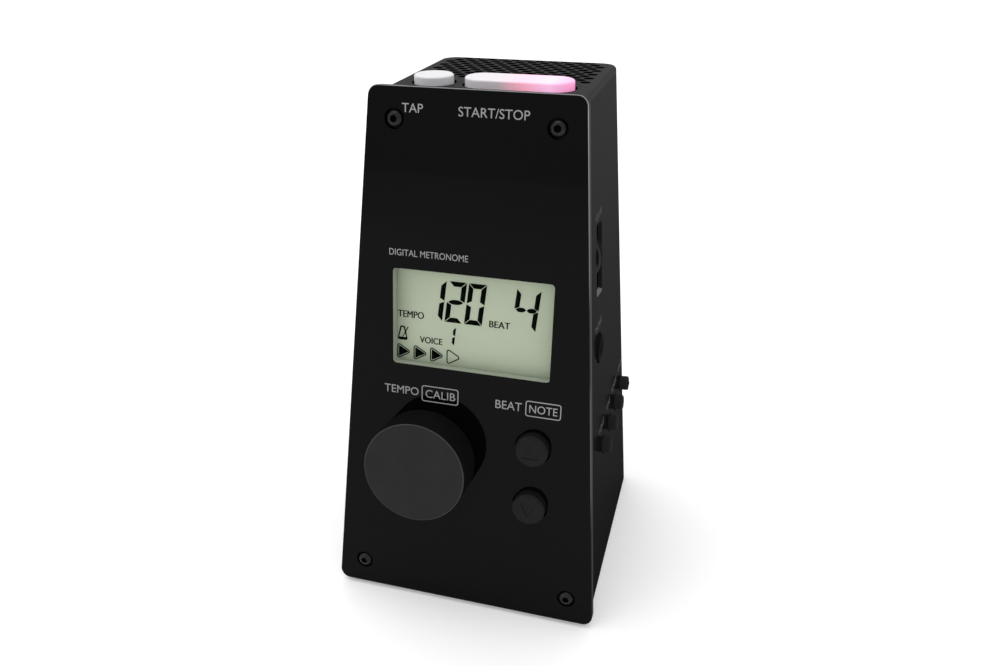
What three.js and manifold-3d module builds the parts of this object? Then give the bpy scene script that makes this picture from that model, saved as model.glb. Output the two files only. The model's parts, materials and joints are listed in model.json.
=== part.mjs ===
// A small digital metronome: an acrylic front panel leaning on a tapered moulded case, with a
// tempo dial, a liquid crystal display, push buttons on the front, top and right side, a volume
// wheel, a headphone socket, a loudspeaker under the top grille, and four cells behind a rear door.
//
// Millimetres, +Z up. The front faces -Y and +X is to the right, seen from the front.
// The origin is on the standing surface, under the middle of the overall box.
//
// Three frames are used:
//   the case frame    x right, y back from the panel's lower front edge, z up from that edge
//   the panel frame   x right, y into the case along the panel's normal, z up the panel
//   the side frame    x out of the right wall, y back, z up the wall, from the side button row

import * as THREE from 'three';
import { mergeVertices } from 'three/addons/utils/BufferGeometryUtils.js';
import Module from 'manifold-3d';

const wasm = await Module();
wasm.setup();

// ---------------------------------------------------------------- driving dimensions

const LEAN = THREE.MathUtils.degToRad(8.4);
const GAP = 0.2;

const PANEL = { slant: 115.6, bottom: 61.8, top: 44.1, thick: 2, corner: 2.2 };
const CASE = { top: 112.8, bottom: -0.6, rear: 61.3, inset: 1.2, wall: 2, corner: 3.8 };
const FOOT = { radius: 3.2, thick: 1, proud: 0.4, x: 21, front: 9, rear: 52 };

const DISPLAY = { x: 0.45, z: 68.1, window: [34.8, 21.2], glass: [37.8, 24.4], frame: [40.6, 27.2] };
const DIAL = { x: -9, z: 36.1, radius: 11.4, height: 8.6, chamfer: 0.3, hub: 4.6, wall: 1.5 };
const DIAL_BACK = { face: 5, foot: 0.5, hub: 0.8 };
const ENCODER = { half: 6.2, front: 5.4, nose: 3.6, shaft: 3, fit: 0.15, from: 7.1, to: 7.7 };
const BEAT = { x: 15.1, upZ: 42.05, downZ: 28.1, radius: 3.65, height: 2.3, edge: 0.3, clear: 0.3 };
const BEAT_STOP = { radius: 4.7, front: 2.3, back: 3.3, stem: 1.6, end: 8.3 };
const TOP = { y: 29.65, radius: 4.15, height: 1.7, tapX: -12.8, startLow: -5.9, startHigh: 16.95 };
const TOP_CAP = { edge: 0.5, clear: 0.35, skirt: 0.65, skirtTop: -2.3, skirtLow: -3.3, wall: 1, inner: 0.2 };
const TOP_STEM = { radius: 1.6, end: -5.6 };
const LAMP = { apart: 14, flange: 1.8, radius: 1.5, tall: 2.4 };
const ROW = { z: 30.9, firstY: 27.3, pitch: 9.35, rise: 0.38, radius: 1.83, height: 2, edge: 0.3 };
const ROW_CLEAR = 0.3;
const ROW_STOP = { radius: 2.7, outer: -2.3, inner: -3.1, stem: 1.1, end: -4.9 };
const SWITCH = { half: 3, bore: 1.9, sideHalf: 2.2, sideBore: 1.4 };
const WHEEL = { z: 80.6, depth: 17.8, radius: 6.4, width: 3.2, proud: 0.6, slot: [5, 14.4] };
const JACK = { z: 60.5, depth: 17.2, bore: 1.8, ring: 3, proud: 0.6, long: 15, half: 3.4 };
const GRILLE = { pitch: 2.95, rowPitch: 2.237, rearY: 59.4, rows: 11, widest: 13, radius: 1.15 };

const PANEL_SCREW = { head: 1.75, shank: 1, topX: 16.6, topZ: 109.2, lowX: 24.5, lowZ: 5.9 };
const BOARD = { front: 12, back: 13.6, bottom: 11, top: 94 };
const BOARD_SCREW = { head: 1.6, shank: 0.85, lowX: 23.9, lowZ: 22, topX: 18.6, topZ: 90.8 };
const TOP_BOARD = { bottom: 103.1, top: 104.3, front: 24.6, back: 36.4, half: 18.4 };
const SIDE_BOARD = { inner: -7.6, outer: -6.6, half: 3.2 };
const SPEAKER = { radius: 18, y: 41, top: 100, ledge: { inner: 16.9, drop: 3.1, thick: 1.3, y: [36, 46] } };
const MAGNET = { radius: 9, low: -14, high: -9.2 };
const CELL = { radius: 5.25, length: 44.5, cap: 1.9, y: [40.9, 51.7], z: [8.15, 18.95] };
const CONTACT = { inner: 23.3, outer: 23.7, y: [36.5, 56.2], z: [3.4, 24] };
const TRAY = { half: 25, front: 34.4, rear: 57.6, bottom: 1.7, top: 25.6, wall: 1 };
const DOOR = { half: 22.4, bottom: 3.2, top: 25, thick: 1.6, gap: 0.3 };
const DOOR_NOTCH = { radius: 6, half: 4.5, back: 5 };
const LEAD_RADIUS = 0.6;

// Worked out from the dimensions above.
const RISE = PANEL.slant * Math.cos(LEAN);
const TAPER = (PANEL.bottom - PANEL.top) / 2 / RISE;
const SIDE_SLOPE = Math.atan(TAPER);
const DIAL_FRONT = (DIAL.z - DIAL.radius + DIAL.chamfer) * Math.sin(LEAN) - DIAL.height * Math.cos(LEAN);
const CENTRE_Y = (DIAL_FRONT + CASE.rear) / 2;
const BASE_Z = FOOT.proud - CASE.bottom;

const outerHalf = (z) => PANEL.bottom / 2 - CASE.inset - TAPER * z;
const leanedY = (z, depth) => z * Math.tan(LEAN) + depth / Math.cos(LEAN);
const heightOf = (panelZ, depth) => panelZ * Math.cos(LEAN) - depth * Math.sin(LEAN);

// ---------------------------------------------------------------- colours

const finish = (color, roughness, metalness) =>
  new THREE.MeshStandardMaterial({ color, roughness, metalness });
const LOOK = {
  gloss: finish(0x0b0b0c, 0.06, 0),
  shell: finish(0x2a2a2b, 0.42, 0),
  knob: finish(0x232324, 0.5, 0),
  clear: finish(0xdfe6e2, 0.04, 0),
  lcd: finish(0x969f8b, 0.3, 0),
  white: finish(0xe6e4e6, 0.28, 0),
  glow: finish(0xf2c6dc, 0.28, 0),
  steel: finish(0x3a3a3c, 0.3, 0.9),
  plated: finish(0xb9bcbf, 0.3, 1),
  board: finish(0x1d4a2c, 0.45, 0),
  part: finish(0x1a1a1b, 0.6, 0),
  tray: finish(0x202022, 0.6, 0),
  rubber: finish(0x161616, 0.9, 0),
  paper: finish(0x2b2a28, 0.9, 0),
  magnet: finish(0x6d6f72, 0.35, 0.9),
  cell: finish(0x39566b, 0.35, 0.2),
  led: finish(0xf4e9e9, 0.15, 0),
  lead: finish(0x7d1f1c, 0.55, 0),
};

// ---------------------------------------------------------------- geometry helpers

// Shared corners, no flat triangles, faces pointing out.
function closed(geometry) {
  const bare = new THREE.BufferGeometry();
  bare.setAttribute('position', geometry.getAttribute('position'));
  if (geometry.index) bare.setIndex(geometry.index);
  const merged = mergeVertices(bare, 1e-4);
  const place = merged.getAttribute('position');
  const kept = [];
  const [a, b, c] = [new THREE.Vector3(), new THREE.Vector3(), new THREE.Vector3()];
  let volume = 0;
  for (let i = 0; i < merged.index.count; i += 3) {
    const [p, q, r] = [0, 1, 2].map((k) => merged.index.getX(i + k));
    if (p === q || q === r || r === p) continue;
    a.fromBufferAttribute(place, p);
    b.fromBufferAttribute(place, q);
    c.fromBufferAttribute(place, r);
    volume += a.dot(b.cross(c));
    kept.push(p, q, r);
  }
  merged.setIndex(volume < 0 ? kept.reverse() : kept);
  return merged;
}

function solid(geometry) {
  const shape = closed(geometry);
  const vertProperties = new Float32Array(shape.getAttribute('position').array);
  const triVerts = new Uint32Array(shape.index.array);
  return new wasm.Manifold(new wasm.Mesh({ numProp: 3, vertProperties, triVerts }));
}

function surface(manifold) {
  const { vertProperties, triVerts } = manifold.getMesh();
  const geometry = new THREE.BufferGeometry();
  geometry.setAttribute('position', new THREE.BufferAttribute(new Float32Array(vertProperties), 3));
  geometry.setIndex(new THREE.BufferAttribute(new Uint32Array(triVerts), 1));
  return geometry;
}

const united = (geometries) => geometries.map(solid).reduce((all, next) => all.add(next));
const join = (...geometries) => surface(united(geometries));
const cut = (base, ...tools) => surface(solid(base).subtract(united(tools)));

// A box between two corners.
function block([x0, y0, z0], [x1, y1, z1]) {
  const box = new THREE.BoxGeometry(x1 - x0, y1 - y0, z1 - z0);
  return box.translate((x0 + x1) / 2, (y0 + y1) / 2, (z0 + z1) / 2);
}

// Round bars along each axis.
const barY = (radius, y0, y1, x, z, sides = 24) =>
  new THREE.CylinderGeometry(radius, radius, y1 - y0, sides).translate(x, (y0 + y1) / 2, z);
const barZ = (radius, z0, z1, x, y, sides = 24) => {
  const bar = new THREE.CylinderGeometry(radius, radius, z1 - z0, sides);
  return bar.rotateX(Math.PI / 2).translate(x, y, (z0 + z1) / 2);
};
const barX = (radius, x0, x1, y, z, sides = 24) => {
  const bar = new THREE.CylinderGeometry(radius, radius, x1 - x0, sides);
  return bar.rotateZ(Math.PI / 2).translate((x0 + x1) / 2, y, z);
};

// A turned shape about Y, from [radius, y] pairs.
const turned = (profile, sides = 32) =>
  new THREE.LatheGeometry(profile.map(([r, y]) => new THREE.Vector2(r, y)), sides);
const turnedZ = (profile, sides) => turned(profile, sides).rotateX(Math.PI / 2);
const turnedX = (profile, sides) => turned(profile, sides).rotateZ(-Math.PI / 2);

// The corners of an outline rounded by arcs of one radius.
function rounded(corners, radius, steps = 6) {
  const points = [];
  corners.forEach(([x, y], i) => {
    const corner = new THREE.Vector2(x, y);
    const before = new THREE.Vector2(...corners.at(i - 1)).sub(corner).normalize();
    const after = new THREE.Vector2(...corners[(i + 1) % corners.length]).sub(corner).normalize();
    const half = Math.acos(before.dot(after)) / 2;
    const centre = before.clone().add(after).normalize().multiplyScalar(radius / Math.sin(half)).add(corner);
    const start = before.clone().multiplyScalar(radius / Math.tan(half)).add(corner).sub(centre);
    const sweep = Math.PI - 2 * half;
    for (let k = 0; k <= steps; k += 1) {
      points.push(start.clone().rotateAround(new THREE.Vector2(), (sweep * k) / steps).add(centre));
    }
  });
  return new THREE.Shape(points);
}

const rectangle = (width, height, x, z, radius) =>
  rounded(
    [
      [x - width / 2, z - height / 2],
      [x + width / 2, z - height / 2],
      [x + width / 2, z + height / 2],
      [x - width / 2, z + height / 2],
    ],
    radius,
    4,
  );

// An outline in x and z with a thickness along y.
const plate = (shape, y0, y1) => {
  const sheet = new THREE.ExtrudeGeometry(shape, { depth: y1 - y0, bevelEnabled: false });
  return sheet.rotateX(Math.PI / 2).translate(0, y1, 0);
};

// An outline in x and y with a thickness along z.
const slab = (shape, z0, z1) =>
  new THREE.ExtrudeGeometry(shape, { depth: z1 - z0, bevelEnabled: false }).translate(0, 0, z0);

// A bar with round ends in plan, from x0 to x1.
function stadium(x0, x1, y, radius) {
  const shape = new THREE.Shape();
  shape.absarc(x1 - radius, y, radius, -Math.PI / 2, Math.PI / 2, false);
  shape.absarc(x0 + radius, y, radius, Math.PI / 2, (3 * Math.PI) / 2, false);
  return shape;
}

// A straight-sided solid between two outlines with the same number of corners.
function loft(low, zLow, high, zHigh) {
  const n = low.length;
  const corners = [...low.map((p) => [p.x, p.y, zLow]), ...high.map((p) => [p.x, p.y, zHigh])];
  const faces = [];
  for (const [a, b, c] of THREE.ShapeUtils.triangulateShape(low, [])) {
    faces.push(c, b, a, a + n, b + n, c + n);
  }
  for (let i = 0; i < n; i += 1) {
    const j = (i + 1) % n;
    faces.push(i, j, j + n, i, j + n, i + n);
  }
  const geometry = new THREE.BufferGeometry();
  geometry.setAttribute('position', new THREE.Float32BufferAttribute(corners.flat(), 3));
  geometry.setIndex(faces);
  return geometry;
}

// The case's section at one height: straight sides, a square front and round rear corners.
function section(half, front, rear, radius) {
  const shape = new THREE.Shape();
  shape.moveTo(-half, front);
  shape.lineTo(half, front);
  shape.absarc(half - radius, rear - radius, radius, 0, Math.PI / 2, false);
  shape.absarc(radius - half, rear - radius, radius, Math.PI / 2, Math.PI, false);
  return shape.getPoints(8).slice(0, -1);
}

const leaned = (geometry) => geometry.rotateX(-LEAN);
const onSide = (geometry) => geometry.rotateY(-SIDE_SLOPE).translate(outerHalf(ROW.z), 0, ROW.z);

// ---------------------------------------------------------------- the assembly's groups

const metronome = new THREE.Group();
const caseFrame = new THREE.Group();
caseFrame.position.set(0, -CENTRE_Y, BASE_Z);
const panelFrame = new THREE.Group();
panelFrame.rotation.x = -LEAN;
const sideFrame = new THREE.Group();
sideFrame.position.set(outerHalf(ROW.z), 0, ROW.z);
sideFrame.rotation.y = -SIDE_SLOPE;
metronome.add(caseFrame);
caseFrame.add(panelFrame, sideFrame);

function piece(frame, name, geometry, material) {
  const mesh = new THREE.Mesh(closed(geometry), material);
  mesh.name = name;
  frame.add(mesh);
  return mesh;
}

// ---------------------------------------------------------------- rear shell

function grilleHoles() {
  const holes = [];
  for (let row = 0; row < GRILLE.rows; row += 1) {
    const count = row % 2 === 1 ? GRILLE.widest - 1 : GRILLE.widest - (row === 0 ? 2 : 0);
    for (let i = 0; i < count; i += 1) {
      const x = (i - (count - 1) / 2) * GRILLE.pitch;
      const y = GRILLE.rearY - row * GRILLE.rowPitch;
      holes.push(barZ(GRILLE.radius, CASE.top - 4, CASE.top + 1, x, y, 6));
    }
  }
  return holes;
}

const panelScrews = [
  [-PANEL_SCREW.topX, PANEL_SCREW.topZ, 8],
  [PANEL_SCREW.topX, PANEL_SCREW.topZ, 8],
  [-PANEL_SCREW.lowX, PANEL_SCREW.lowZ, 13],
  [PANEL_SCREW.lowX, PANEL_SCREW.lowZ, 13],
];
const boardScrews = [
  [-BOARD_SCREW.topX, BOARD_SCREW.topZ],
  [BOARD_SCREW.topX, BOARD_SCREW.topZ],
  [-BOARD_SCREW.lowX, BOARD_SCREW.lowZ],
  [BOARD_SCREW.lowX, BOARD_SCREW.lowZ],
];
const feet = [
  [-FOOT.x, FOOT.front],
  [FOOT.x, FOOT.front],
  [-FOOT.x, FOOT.rear],
  [FOOT.x, FOOT.rear],
];
const rowPlaces = [0, 1, 2, 3].map((i) => [ROW.firstY + i * ROW.pitch, i * ROW.rise]);

function rearShell() {
  const { top, bottom, rear, wall, corner } = CASE;
  const seam = PANEL.thick + GAP;
  const skin = loft(
    section(outerHalf(bottom), leanedY(bottom, seam), rear, corner), bottom,
    section(outerHalf(top), leanedY(top, seam), rear, corner), top,
  );
  const [low, high] = [bottom + wall, top - wall];
  const hollow = loft(
    section(outerHalf(low) - wall, -40, rear - wall, corner - wall), low,
    section(outerHalf(high) - wall, -40, rear - wall, corner - wall), high,
  );
  const bosses = [
    ...panelScrews.map(([x, z, end]) => leaned(barY(3.2, seam, end, x, z))),
    ...boardScrews.map(([x, z]) => leaned(barY(2.5, BOARD.back + GAP, 20, x, z))),
  ];
  const { inner, drop, thick, y: ledgeY } = SPEAKER.ledge;
  const ledgeZ = SPEAKER.top - drop;
  const ledges = [-1, 1].map((side) => {
    const [left, right] = [inner * side, (outerHalf(ledgeZ) - wall / 2) * side].sort((a, b) => a - b);
    return block([left, ledgeY[0], ledgeZ], [right, ledgeY[1], ledgeZ + thick]);
  });
  const body = solid(skin).subtract(solid(hollow)).add(united([...bosses, ...ledges]));
  const slotX = outerHalf(heightOf(WHEEL.z, WHEEL.depth));
  const [slotWidth, slotHeight] = WHEEL.slot;
  const { clear } = TOP_CAP;
  const startHole = stadium(TOP.startLow - clear, TOP.startHigh + clear, TOP.y, TOP.radius + clear);
  const footTop = bottom + FOOT.thick - FOOT.proud + 0.1;
  const holes = [
    ...grilleHoles(),
    barZ(TOP.radius + clear, top - 4, top + 1, TOP.tapX, TOP.y, 32),
    slab(startHole, top - 4, top + 1),
    ...rowPlaces.map(([y, z]) => onSide(barX(ROW.radius + ROW_CLEAR, -4, 1, y, z))),
    leaned(barX(JACK.ring + 0.4, 20, 30, JACK.depth, JACK.z)),
    leaned(
      block(
        [slotX - 3, WHEEL.depth - slotWidth / 2, WHEEL.z - slotHeight / 2],
        [slotX + 5, WHEEL.depth + slotWidth / 2, WHEEL.z + slotHeight / 2],
      ),
    ),
    block([-DOOR.half, rear - 3, DOOR.bottom], [DOOR.half, rear + 1, DOOR.top]),
    ...panelScrews.map(([x, z, end]) => leaned(barY(PANEL_SCREW.shank + 0.3, seam - 1, end - 0.8, x, z, 16))),
    ...boardScrews.map(([x, z]) => leaned(barY(BOARD_SCREW.shank + 0.25, BOARD.back, 19, x, z, 16))),
    ...feet.map(([x, y]) => barZ(FOOT.radius + 0.3, bottom - 1, footTop, x, y)),
  ];
  return surface(body.subtract(united(holes)));
}
piece(caseFrame, 'rear_shell', rearShell(), LOOK.shell);

// ---------------------------------------------------------------- front panel, lens and screws

const panelHalf = (z) => PANEL.bottom / 2 + ((PANEL.top - PANEL.bottom) / 2 / PANEL.slant) * z;
const panelOutline = rounded(
  [
    [-panelHalf(0), 0],
    [panelHalf(0), 0],
    [panelHalf(PANEL.slant), PANEL.slant],
    [-panelHalf(PANEL.slant), PANEL.slant],
  ],
  PANEL.corner,
);
const [windowWide, windowTall] = DISPLAY.window;
const windowOutline = (extra) =>
  rectangle(windowWide + 2 * extra, windowTall + 2 * extra, DISPLAY.x, DISPLAY.z, 0.8 + extra);

piece(
  panelFrame,
  'front_panel',
  cut(
    plate(panelOutline, 0, PANEL.thick),
    plate(windowOutline(0), -1, PANEL.thick + 1),
    barY(4, -1, PANEL.thick + 1, DIAL.x, DIAL.z),
    barY(BEAT.radius + BEAT.clear, -1, PANEL.thick + 1, BEAT.x, BEAT.upZ, 32),
    barY(BEAT.radius + BEAT.clear, -1, PANEL.thick + 1, BEAT.x, BEAT.downZ, 32),
    ...panelScrews.flatMap(([x, z]) => [
      barY(PANEL_SCREW.head + 0.25, -1, 0.8, x, z),
      barY(PANEL_SCREW.shank + 0.3, 0, PANEL.thick + 1, x, z, 16),
    ]),
  ),
  LOOK.gloss,
);
piece(panelFrame, 'display_lens', plate(windowOutline(-0.15), 0, PANEL.thick), LOOK.clear);

// A button head screw with a hexagon socket, its head's underside at y.
function buttonScrew(head, height, shank, y, end, x, z) {
  const profile = [
    [0, end],
    [shank, end],
    [shank, y],
    [head, y],
    [head, y - height * 0.35],
    [head * 0.7, y - height * 0.85],
    [head * 0.5, y - height],
    [0, y - height],
  ];
  const body = turned(profile, 12).translate(x, 0, z);
  const socket = barY(head * 0.42, y - height - 1, y - height * 0.4, x, z, 6);
  return cut(body, socket);
}
panelScrews.forEach(([x, z, end], i) => {
  const screw = buttonScrew(PANEL_SCREW.head, 1.2, PANEL_SCREW.shank, 0.7, end - 1.2, x, z);
  piece(panelFrame, `panel_screw_${i + 1}`, screw, LOOK.steel);
});

// ---------------------------------------------------------------- display

const { glass, frame: surround } = DISPLAY;
const behindPanel = PANEL.thick + GAP;
const pocket = rectangle(glass[0] + 0.4, glass[1] + 0.4, DISPLAY.x, DISPLAY.z, 0.4);
piece(
  panelFrame,
  'display_frame',
  cut(
    plate(rectangle(surround[0], surround[1], DISPLAY.x, DISPLAY.z, 1), behindPanel, BOARD.front - GAP),
    plate(pocket, behindPanel + 0.9, BOARD.front + 1),
    plate(windowOutline(0.4), behindPanel - 1, behindPanel + 2),
  ),
  LOOK.part,
);
const sheet = (front, back) =>
  plate(rectangle(glass[0], glass[1], DISPLAY.x, DISPLAY.z, 0.3), behindPanel + front, behindPanel + back);
piece(panelFrame, 'display_glass', sheet(1.1, 2.8), LOOK.lcd);
piece(panelFrame, 'display_reflector', sheet(3, 3.6), LOOK.plated);

// ---------------------------------------------------------------- boards

const boardHalf = (z) => outerHalf(heightOf(z, BOARD.front)) - CASE.wall - 0.7;
piece(
  panelFrame,
  'main_board',
  cut(
    plate(
      rounded(
        [
          [-boardHalf(BOARD.bottom), BOARD.bottom],
          [boardHalf(BOARD.bottom), BOARD.bottom],
          [boardHalf(BOARD.top), BOARD.top],
          [-boardHalf(BOARD.top), BOARD.top],
        ],
        1,
        3,
      ),
      BOARD.front,
      BOARD.back,
    ),
    ...boardScrews.map(([x, z]) => barY(BOARD_SCREW.shank + 0.25, BOARD.front - 1, BOARD.back + 1, x, z, 16)),
  ),
  LOOK.board,
);
boardScrews.forEach(([x, z], i) => {
  const screw = buttonScrew(BOARD_SCREW.head, 1, BOARD_SCREW.shank, BOARD.front - 0.1, 18.4, x, z);
  piece(panelFrame, `board_screw_${i + 1}`, screw, LOOK.plated);
});
piece(
  caseFrame,
  'top_board',
  block(
    [-TOP_BOARD.half, TOP_BOARD.front, TOP_BOARD.bottom],
    [TOP_BOARD.half, TOP_BOARD.back, TOP_BOARD.top],
  ),
  LOOK.board,
);
piece(
  sideFrame,
  'side_board',
  block(
    [SIDE_BOARD.inner, rowPlaces[0][0] - SIDE_BOARD.half, -SIDE_BOARD.half],
    [SIDE_BOARD.outer, rowPlaces[3][0] + SIDE_BOARD.half, rowPlaces[3][1] + SIDE_BOARD.half],
  ),
  LOOK.board,
);

// ---------------------------------------------------------------- tempo dial and encoder

piece(
  panelFrame,
  'encoder_body',
  cut(
    join(
      block(
        [DIAL.x - ENCODER.half, ENCODER.front, DIAL.z - ENCODER.half],
        [DIAL.x + ENCODER.half, BOARD.front - GAP, DIAL.z + ENCODER.half],
      ),
      barY(ENCODER.nose, -GAP, ENCODER.front + 1, DIAL.x, DIAL.z, 32),
    ),
    barY(ENCODER.shaft + GAP, -1, ENCODER.to + 0.3, DIAL.x, DIAL.z, 32),
  ),
  LOOK.plated,
);
const shaft = barY(ENCODER.shaft, -ENCODER.from, ENCODER.to, DIAL.x, DIAL.z, 32);
piece(panelFrame, 'encoder_shaft', shaft, LOOK.plated);

const { radius: dialR, height: dialH, chamfer, hub: hubR, wall: dialWall } = DIAL;
const dialProfile = [
  [0, -dialH],
  [dialR - chamfer, -dialH],
  [dialR, chamfer - dialH],
  [dialR, -DIAL_BACK.foot],
  [dialR - dialWall, -DIAL_BACK.foot],
  [dialR - dialWall, -DIAL_BACK.face],
  [hubR, -DIAL_BACK.face],
  [hubR, -DIAL_BACK.hub],
  [ENCODER.shaft + ENCODER.fit, -DIAL_BACK.hub],
  [ENCODER.shaft + ENCODER.fit, -ENCODER.from - GAP],
  [0, -ENCODER.from - GAP],
];
piece(panelFrame, 'tempo_dial', turned(dialProfile, 36).translate(DIAL.x, 0, DIAL.z), LOOK.knob);

// ---------------------------------------------------------------- beat buttons

const beatProfile = [
  [0, -BEAT.height],
  [BEAT.radius - BEAT.edge, -BEAT.height],
  [BEAT.radius, BEAT.edge - BEAT.height],
  [BEAT.radius, BEAT_STOP.front],
  [BEAT_STOP.radius, BEAT_STOP.front],
  [BEAT_STOP.radius, BEAT_STOP.back],
  [BEAT_STOP.stem, BEAT_STOP.back],
  [BEAT_STOP.stem, BEAT_STOP.end],
  [0, BEAT_STOP.end],
];
for (const [name, z] of [['up', BEAT.upZ], ['down', BEAT.downZ]]) {
  piece(panelFrame, `beat_${name}_button`, turned(beatProfile, 24).translate(BEAT.x, 0, z), LOOK.knob);
  const { half, bore } = SWITCH;
  const front = BEAT_STOP.end - GAP;
  const body = cut(
    block([BEAT.x - half, front, z - half], [BEAT.x + half, BOARD.front - GAP, z + half]),
    barY(bore, front - 1, front + 1.1, BEAT.x, z),
  );
  piece(panelFrame, `beat_${name}_switch`, body, LOOK.part);
}

// ---------------------------------------------------------------- top buttons, switches and lamps

const startX = (TOP.startLow + TOP.startHigh) / 2;
const roof = CASE.top;
const { edge, skirt, skirtTop, skirtLow, wall: capWall, inner: capInner } = TOP_CAP;
const tapProfile = [
  [0, TOP.height],
  [TOP.radius - edge, TOP.height],
  [TOP.radius, TOP.height - edge],
  [TOP.radius, skirtTop],
  [TOP.radius + skirt, skirtTop],
  [TOP.radius + skirt, skirtLow],
  [TOP.radius - capWall, skirtLow],
  [TOP.radius - capWall, capInner],
  [TOP_STEM.radius, capInner],
  [TOP_STEM.radius, TOP_STEM.end],
  [0, TOP_STEM.end],
];
piece(caseFrame, 'tap_button', turnedZ(tapProfile, 24).translate(TOP.tapX, TOP.y, roof), LOOK.white);

const startOutline = (extra) =>
  stadium(TOP.startLow - extra, TOP.startHigh + extra, TOP.y, TOP.radius + extra);
const startCap = united([
  slab(startOutline(0), roof - 3, roof + TOP.height),
  slab(startOutline(skirt), roof + skirtLow, roof + skirtTop),
]);
const startPocket = solid(slab(startOutline(-capWall), roof - 4, roof + capInner));
const startStem = solid(barZ(TOP_STEM.radius, roof + TOP_STEM.end, roof + 0.4, startX, TOP.y));
piece(caseFrame, 'start_button', surface(startCap.subtract(startPocket).add(startStem)), LOOK.glow);

for (const [name, x] of [['tap', TOP.tapX], ['start', startX]]) {
  const { half, bore } = SWITCH;
  const high = roof + TOP_STEM.end + GAP;
  const body = cut(
    block([x - half, TOP.y - half, TOP_BOARD.top + 0.1], [x + half, TOP.y + half, high]),
    barZ(bore, high - 1.3, high + 1, x, TOP.y),
  );
  piece(caseFrame, `${name}_switch`, body, LOOK.part);
}
const lampProfile = [
  [0, LAMP.tall],
  [LAMP.radius * 0.53, LAMP.tall - 0.2],
  [LAMP.radius - 0.1, LAMP.tall - 1],
  [LAMP.radius, 0.5],
  [LAMP.flange, 0.5],
  [LAMP.flange, 0],
  [0, 0],
];
for (const [name, side] of [['beat_lamp', -1], ['accent_lamp', 1]]) {
  const x = startX + (side * LAMP.apart) / 2;
  piece(caseFrame, name, turnedZ(lampProfile, 12).translate(x, TOP.y, TOP_BOARD.top + 0.1), LOOK.led);
}

// ---------------------------------------------------------------- side buttons and switches

const rowProfile = [
  [0, ROW.height],
  [ROW.radius - ROW.edge, ROW.height],
  [ROW.radius, ROW.height - ROW.edge],
  [ROW.radius, ROW_STOP.outer],
  [ROW_STOP.radius, ROW_STOP.outer],
  [ROW_STOP.radius, ROW_STOP.inner],
  [ROW_STOP.stem, ROW_STOP.inner],
  [ROW_STOP.stem, ROW_STOP.end],
  [0, ROW_STOP.end],
];
['voice', 'tone', 'memory', 'power'].forEach((name, i) => {
  const [y, z] = rowPlaces[i];
  piece(sideFrame, `${name}_button`, turnedX(rowProfile, 16).translate(0, y, z), LOOK.knob);
  const { sideHalf, sideBore } = SWITCH;
  const outer = ROW_STOP.end + GAP;
  const body = cut(
    block([SIDE_BOARD.outer + 0.1, y - sideHalf, z - sideHalf], [outer, y + sideHalf, z + sideHalf]),
    barX(sideBore, outer - 1, outer + 1, y, z, 12),
  );
  piece(sideFrame, `${name}_switch`, body, LOOK.part);
});

// ---------------------------------------------------------------- volume wheel and its potentiometer

const wheelX = outerHalf(heightOf(WHEEL.z, WHEEL.depth)) + WHEEL.proud - WHEEL.radius;
const wheelFront = WHEEL.depth - WHEEL.width / 2;
piece(
  panelFrame,
  'volume_wheel',
  join(
    barY(WHEEL.radius, wheelFront, wheelFront + WHEEL.width, wheelX, WHEEL.z, 36),
    barY(1.5, 14, wheelFront + 0.5, wheelX, WHEEL.z, 16),
  ),
  LOOK.knob,
);
piece(
  panelFrame,
  'volume_control',
  cut(
    block([wheelX - 5.5, BOARD.back + GAP, WHEEL.z - 4.5], [wheelX + 2.8, wheelFront - 0.3, WHEEL.z + 4.5]),
    barY(1.8, BOARD.back - 1, wheelFront + 1, wheelX, WHEEL.z, 16),
  ),
  LOOK.part,
);

// ---------------------------------------------------------------- headphone socket

const jackWall = outerHalf(heightOf(JACK.z, JACK.depth));
piece(
  panelFrame,
  'headphone_socket',
  cut(
    join(
      block(
        [jackWall - JACK.long, BOARD.back + GAP, JACK.z - JACK.half],
        [jackWall - CASE.wall - 0.6, JACK.depth + JACK.half, JACK.z + JACK.half],
      ),
      barX(JACK.ring, jackWall - CASE.wall - 1, jackWall + JACK.proud, JACK.depth, JACK.z, 32),
    ),
    barX(JACK.bore, jackWall - JACK.long + 1.5, jackWall + 2, JACK.depth, JACK.z),
  ),
  LOOK.part,
);

// ---------------------------------------------------------------- loudspeaker

const onSpeaker = (profile, sides) => turnedZ(profile, sides).translate(0, SPEAKER.y, SPEAKER.top);
const basketProfile = [
  [SPEAKER.radius, 0],
  [SPEAKER.radius, -1.5],
  [16.2, -1.5],
  [10.5, -9],
  [7, -9],
  [7, -8],
  [9.9, -8],
  [15.6, -0.7],
  [15.6, 0],
  [SPEAKER.radius, 0],
];
const coneProfile = [
  [0, -4.4],
  [4.2, -5.2],
  [5, -6],
  [13.2, -1.2],
  [15.2, -0.5],
  [15.2, -0.9],
  [13.2, -1.7],
  [5, -6.6],
  [0, -6.6],
];
piece(caseFrame, 'speaker_basket', onSpeaker(basketProfile, 24), LOOK.plated);
piece(caseFrame, 'speaker_cone', onSpeaker(coneProfile, 24), LOOK.paper);
piece(
  caseFrame,
  'speaker_magnet',
  barZ(MAGNET.radius, SPEAKER.top + MAGNET.low, SPEAKER.top + MAGNET.high, 0, SPEAKER.y, 24),
  LOOK.magnet,
);

// ---------------------------------------------------------------- cells, tray and contacts

piece(
  caseFrame,
  'battery_tray',
  cut(
    block([-TRAY.half, TRAY.front, TRAY.bottom], [TRAY.half, TRAY.rear, TRAY.top]),
    block(
      [TRAY.wall - TRAY.half, TRAY.front + TRAY.wall, TRAY.bottom + TRAY.wall],
      [TRAY.half - TRAY.wall, TRAY.rear + 1, TRAY.top - TRAY.wall],
    ),
  ),
  LOOK.tray,
);

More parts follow.
